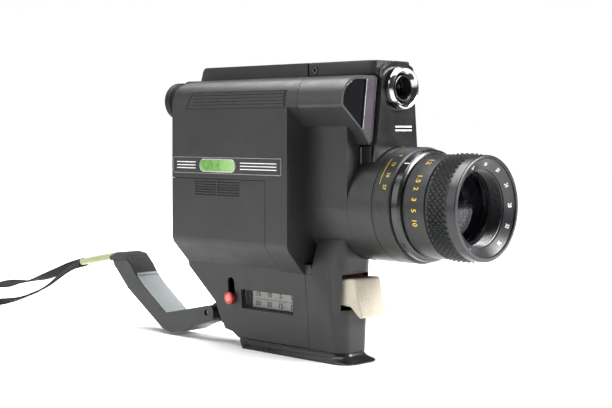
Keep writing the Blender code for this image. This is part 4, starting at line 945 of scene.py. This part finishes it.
def make_side_ribs():
    """Fine ribs above the label, with painted shade in the grooves between them, and a dark border."""
    slope, count, pitch, foot = 0.4, 5, 1.9, 57.6
    front, rear, low, high = 111.2, 199.3, 56.9, 67.1
    ribs = bmesh.new()
    for k in range(count):
        z = 57.9 + k * pitch
        outer = shoulder_x(z) - 0.28
        gather(ribs, box_work((outer, outer + 0.6), (112.2, 197.5 - (z - foot) * slope), (z, z + 1.3)))
    finished("side_ribs", ribs, BODY, "camera_body", "body_plastic", edge=0.1)
    border = bmesh.new()
    for z in (low, high):
        outer = shoulder_x(z) - 0.2
        gather(border, box_work((outer, outer + 0.6), (front, rear - (z - foot) * slope), (z, z + 0.35)))
    for y in (front, rear):
        bar = bmesh.new()
        bmesh.ops.create_grid(bar, x_segments=1, y_segments=12, size=0.5)
        thick = bmesh.ops.extrude_face_region(bar, geom=bar.faces[:])
        for element in thick["geom"]:
            if isinstance(element, bmesh.types.BMVert):
                element.co.z += 1.0
        for vertex in bar.verts:
            u, v, w = vertex.co
            z = low + (v + 0.5) * 10.5
            shift = (z - foot) * slope if y == rear else 0.0
            vertex.co = (shoulder_x(z) - 0.2 + w * 0.6, y - shift + u * 0.35, z)
        face_out(bar)
        gather(border, bar)
    finished("side_ribs_border", border, INSIDE_AND_SHADE_BLACK, "camera_body", "body_plastic")
    # Painted shade: near-black strips in the grooves between the ribs.
    grooves = bmesh.new()
    for k in range(count):
        z = 59.25 + k * pitch
        outer = shoulder_x(z) - 0.1
        gather(grooves, box_work((outer, outer + 0.4), (112.6, 197.2 - (z - foot) * slope), (z, z + 0.5)))
    finished("side_rib_painted_shade", grooves, INSIDE_AND_SHADE_BLACK, "camera_body", "body_plastic")


def make_door_grip():
    """Painted shade in the grooves of the battery door's finger grip, as near-black strips on their floors,
    with a divider between their two halves.
    """
    x = BULGE_X
    count, first_z, pitch = 6, 3.2, 1.6
    # Painted shade: near-black strips on the floors of the grip's grooves.
    painted_groove_shade = boxes(((x + 0.55, x + 0.75), span, (first_z + k * pitch + 0.05, first_z + k * pitch + 0.75))
                  for k in range(count) for span in ((150.8, 170.2), (172.0, 191.2)))
    finished("door_grip_painted_shade", painted_groove_shade, INSIDE_AND_SHADE_BLACK, "battery_lid", "body_plastic")
    divider = box_work((x + 0.05, x + 0.75), (170.3, 171.9), (3.0, 12.4))
    finished("door_grip_divider", divider, BODY, "battery_lid", "body_plastic", edge=0.1)


def make_meter_details():
    """Purple-grey trim beside the meter's window with painted highlights along its edges, and the pieces
    round it, among them a painted highlight on the front block.
    """
    y = 66.0
    trim = plate([(-26.7, 73.6, 0.5), (-18.9, 74.6, 1.0), (-23.4, 36.5), (-25.2, 36.8), (-30.4, 44.6)],
                 "Y", y - 0.35, y + 0.05)
    finished("meter_trim", trim, METER_TRIM, "camera_body", "gloss_plastic", edge=0.2)
    # Painted highlights: bright silver strips along the trim's two edges.
    edges = bmesh.new()
    half = 0.22
    for (xa, za), (xb, zb) in (((-27.0, 73.6), (-30.75, 44.4)), ((-18.6, 74.4), (-23.1, 36.6))):
        gather(edges, plate([(xa - half, za), (xa + half, za), (xb + half, zb), (xb - half, zb)], "Y",
                            y - 0.55, y))
    finished("meter_painted_highlights", edges, SILVER_AND_HIGHLIGHT, "camera_body", "chrome")
    redress("meter_window", WINDOW, edge=0.2)
    redress("top_cover_screw", RING_BLACK, edge=0.1)
    # Painted highlight: a bright steel bar where the front block's edge catches the light.
    bar = plate([(-24.05, 72.8), (-23.75, 72.8), (-23.75, 73.5), (-24.05, 73.5)], "Z", 19.4, 33.9)
    finished("front_block_painted_highlight", bar, STEEL, "camera_body", "chrome", edge=0.1)
    redress("meter_housing", edge=0.35)


def make_panel_details():
    """The front panel, with two plain white lines on it."""
    redress("front_panel", PANEL, edge=0.55, segments=3)
    lines = boxes(((-5.5, 9.5), (62.38, 62.55), (z, z + 0.9)) for z in (43.2, 45.4))
    finished("panel_lines", lines, WHITE, "camera_body", "scale_card")


def make_film_door_details():
    """Cassette window, catch ribs and a raised border on the film door."""
    finished("cassette_window", pad((128.4, 157.6), (8.4, 23.6), 1.6, 14.2, 15.4), CLEAR, "film_lid",
             "glass", edge=0.2)
    count, first_z, pitch = 7, 4.5, 1.9
    ribs = boxes(((17.7, 18.25), (86.3, 93.7), (first_z + k * pitch, first_z + k * pitch + 0.8))
                 for k in range(count))
    finished("film_catch_ribs", ribs, PANEL, "film_lid_catch", "gloss_plastic", edge=0.12)
    border = boxes(((16.1, 16.55), y, z) for y, z in (
        ((100, 206), (61.6, 62.2)), ((100, 206), (-27.2, -26.6)), ((100, 100.6), (-27.2, 62.2)),
        ((205.4, 206), (-27.2, 62.2))))
    finished("film_door_border", border, BODY, "film_lid", "body_plastic", edge=0.1)
    redress("film_door", edge=0.35)


def make_foot():
    """Base of the grip: its front flares out in a cove to a rounded, polished edge."""
    top_z, bottom_z, front, rear = -87.8, -93.6, 76.0, 167.8
    top_front, top_rear, top_half = 82.5, rear + 4.0, 12.2
    outline = rounded([(-31.0, rear, 2.0), (-33.0, front, 10.0), (-1.0, front, 10.0),
                       (-3.0, rear, 2.0)], 10)
    work = bmesh.new()
    rings = []
    # share of the way down, and share of the way out from the top's outline to the bottom's
    levels = [(0.0, 0.0), (0.12, 0.02), (0.25, 0.07), (0.38, 0.16), (0.5, 0.3), (0.62, 0.5),
              (0.72, 0.72), (0.8, 0.9), (0.88, 0.98), (0.96, 0.97), (1.0, 0.93)]
    for drop, out in levels:
        ring = []
        for x, y in outline:
            share = (y - front) / (rear - front)
            half = 16.0 - 2.0 * share
            top = Vector((GRIP_MID + (x - GRIP_MID) * top_half / half,
                          top_front + share * (top_rear - top_front)))
            spot = top.lerp(Vector((x, y)), out)
            ring.append(work.verts.new((spot.x, spot.y, top_z + (bottom_z - top_z) * drop)))
        rings.append(ring)
    capped_tube(work, rings)
    finished("foot", work, FOOT, *in_place_of("base_plate"), smooth=50)
    rim = turned([(3.3, 0.0), (6.6, 0.0), (6.6, 0.4), (3.3, 0.4)], sides=48)
    bmesh.ops.rotate(rim, matrix=Matrix.Rotation(math.radians(90), 3, "X"), verts=rim.verts)
    bmesh.ops.translate(rim, vec=(*TRIPOD_BUSH, bottom_z + 0.45), verts=rim.verts)
    finished("tripod_bush_rim", rim, BRASS, "camera_body", "brass", smooth=30)


def make_trigger():
    """The trigger, and the web between the grip's pillar and the grip."""
    low, high = (TO_ROW.inverted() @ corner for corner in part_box("trigger"))
    button = plate([(89.5, -41.6), (86.5, -43.6), (76.0, -43.2), (73.6, -54.5), (69.6, -64.6),
                    (72.4, -66.4), (79.8, -59.9), (95.0, -59.0), (96.0, -42.0)], "X", low.x, high.x)
    finished("trigger_button", button, CREAM, *in_place_of("trigger"), edge=1.5, segments=6, limit=30)
    web = plate([(-33.85, -36.5), (-27.0, -36.5), (-27.0, -42.4), (-33.3, -42.4)], "Y", 104.3, 109.0)
    finished("pillar_web", web, BODY, "camera_body", "body_plastic", edge=0.2)


def make_lock_knob():
    """The red lock knob and its pale centre."""
    redress("lock_knob", RED, edge=0.25, segments=3)
    y, z = LOCK_KNOB
    centre = turned([(0.0, -0.15), (1.9, -0.1), (2.2, 0.1), (2.2, 0.6), (0.0, 0.6)], sides=32)
    finished("lock_knob_centre", facing_side(centre, (grip_side(z) - 3.4, y, z)), RED_PALE, "run_lock",
             "red_plastic", smooth=35)


def make_counter():
    """The film counter's numerals and ticks on its card, painted shade at its rear end (a dark box on the
    window recess's rear wall), and its pane.
    """
    marks = bmesh.new()
    # Painted shade on the rear inner wall of the counter's window recess.
    mask = box_work((-25.75, -25.5), (162.6, 166.6), (-67.9, -56.5))
    finished("counter_painted_shade", mask, INSIDE_AND_SHADE_BLACK, "camera_body", "black_plastic", edge=0.05)
    first_y, pitch, size, face_x = 157.6, 9.9, 4.4, -25.47
    for row_z, words in ((-59.0, ("15", "10", "5", "0")), (-64.9, ("50", "30", "15", "0"))):
        for k, word in enumerate(words):
            numeral = text_mesh(word, size, 0.1)
            for vertex in numeral.verts:
                u, v, w = vertex.co
                vertex.co = (face_x - w, first_y - k * pitch - u, row_z + v)
            gather(marks, numeral)
    ticks, tick_pitch = 35, 1.08
    for k in range(ticks):
        tick = box_work((-25.5, -25.42), (122.8 + k * tick_pitch, 123.1 + k * tick_pitch),
                        (-62.3 if k % 5 else -62.7, -61.5))
        gather(marks, tick)
    finished("counter_numerals", marks, PRINT, "camera_body", "scale_card")
    (front, rear), (bottom, top) = COUNTER_Y, COUNTER_Z
    pane = plate([(front, bottom), (rear, bottom), (rear, top), (front, top)], "X", 0.0, 0.5)
    for vertex in pane.verts:
        vertex.co.x += grip_side(vertex.co.z) + 1.0
    finished("counter_pane", pane, CLEAR, "camera_body", "glass")


def make_handle_details():
    """The handle's arm with its inner face painted pale as lit from above, a painted highlight on that
    face's rim, and the dark cap with its skirt, which also carries painted shade below the cap.
    """
    left, right = HANDLE_SIDES
    # Painted light: the inner face is painted pale grey for the light that falls on it from above; the arm
    # itself is dark grey.
    pale = plate([(245.6, -79.2), (269.7, -62.7), (277.3, -56.2), (279.0, -58.4), (272.0, -65.0),
                  (249.8, -79.8)], "X", left + 1.1, right - 0.4)
    finished("handle_painted_lit_face", pale, LIT_FACE_GREY, "handle", "grey_plastic", edge=0.35)
    # The skirt closes the slit between the cap and the arm; its black lower part is painted shade in the
    # hollow under the cap.
    hood = plate([(277.6, -56.7), (277.0, -55.6), (282.2, -49.3, 1.0), (286.6, -44.8, 2.0),
                  (289.5, -45.0), (305.2, -47.4), (303.6, -50.4), (286.0, -50.4), (280.0, -58.0)],
                 "X", left + 0.9, right - 0.9)
    finished("handle_cap_skirt_and_shade", hood, BLACK, "handle", "black_plastic", edge=0.5, segments=3)
    # Painted highlight: a pale grey strip where the rim of the inner face catches the light.
    rim = plate([(276.5, -56.9), (276.1, -56.2), (277.4, -55.0), (278.2, -56.0)], "X", left + 1.3,
                right - 0.9)
    finished("handle_rim_painted_highlight", rim, TUBE_AND_HIGHLIGHT_GREY, "handle", "grey_plastic", edge=0.2)
    redress("handle_arm", GREY, edge=0.6, segments=3)
    redress("handle_cap", BLACK, edge=0.5, segments=3)


def make_plain_nodes():
    """Every other CAD node keeps its shape, with rounded edges and its finish."""
    done = set()
    for piece in scene.objects:
        done.update(piece.get("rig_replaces", []))
    edges = {"side_shell": 0.5, "film_chassis": 0.4, "grip_shell": 0.5, "grip_front_cover": 0.5,
             "battery_door": 0.3, "top_cover_rear": 0.4, "top_cover_front": 0.4, "front_block": 0.4}
    for node in sorted(frame["nodes"]):
        if node not in done:
            redress(node, edge=edges.get(node, 0.15))


# ---- studio

FLOOR_REACH = 3.0                  # metres, half the floor's side
LIGHTS = (                         # name, place and size in metres, power in watts
    ("top_light", (-0.1, 0.35, 1.25), 1.2, 36.0),
    ("left_light", (-1.15, 0.75, 0.6), 0.8, 5.0),
    ("front_light", (0.65, -1.2, 0.75), 0.6, 44.0),
)


def make_studio():
    """The floor, a surround that only the camera sees as white, and three soft lights."""
    low = cad_box[0]
    work = bmesh.new()
    bmesh.ops.create_grid(work, x_segments=2, y_segments=2, size=FLOOR_REACH)
    mesh = bpy.data.meshes.new("floor")
    work.to_mesh(mesh)
    work.free()
    mesh.materials.append(floor_finish())
    floor = bpy.data.objects.new("floor", mesh)
    floor.location = (0, 0, min(0.0, low[2]))
    scene.collection.objects.link(floor)
    world = bpy.data.worlds.new("studio")
    world.use_nodes = True
    nodes, links = world.node_tree.nodes, world.node_tree.links
    surround = nodes["Background"]
    surround.inputs["Color"].default_value = (0.9, 0.95, 1.0, 1.0)
    surround.inputs["Strength"].default_value = 0.07
    backdrop = nodes.new("ShaderNodeBackground")
    backdrop.inputs["Color"].default_value = (1.0, 1.0, 1.0, 1.0)
    backdrop.inputs["Strength"].default_value = 1.0
    either = nodes.new("ShaderNodeMixShader")
    links.new(nodes.new("ShaderNodeLightPath").outputs["Is Camera Ray"], either.inputs["Fac"])
    links.new(surround.outputs["Background"], either.inputs[1])
    links.new(backdrop.outputs["Background"], either.inputs[2])
    links.new(either.outputs["Shader"], nodes["World Output"].inputs["Surface"])
    scene.world = world
    aim = at(-10, 130, 0)
    for name, spot, size, power in LIGHTS:
        lamp = bpy.data.lights.new(name, "AREA")
        lamp.size = size
        lamp.energy = power
        holder = bpy.data.objects.new(name, lamp)
        holder.location = spot
        holder.rotation_euler = (aim - Vector(spot)).to_track_quat("-Z", "Y").to_euler()
        scene.collection.objects.link(holder)
    scene.view_settings.view_transform = "Standard"


make_strap()
make_front_ring()
make_focus_ring()
make_zoom_ring()
make_neck_back()
make_inner_lens()
make_finder()
make_eyepiece()
make_label()
make_side_ribs()
make_door_grip()
make_meter_details()
make_panel_details()
make_film_door_details()
make_foot()
make_trigger()
make_lock_knob()
make_counter()
make_handle_details()
make_plain_nodes()
make_studio()
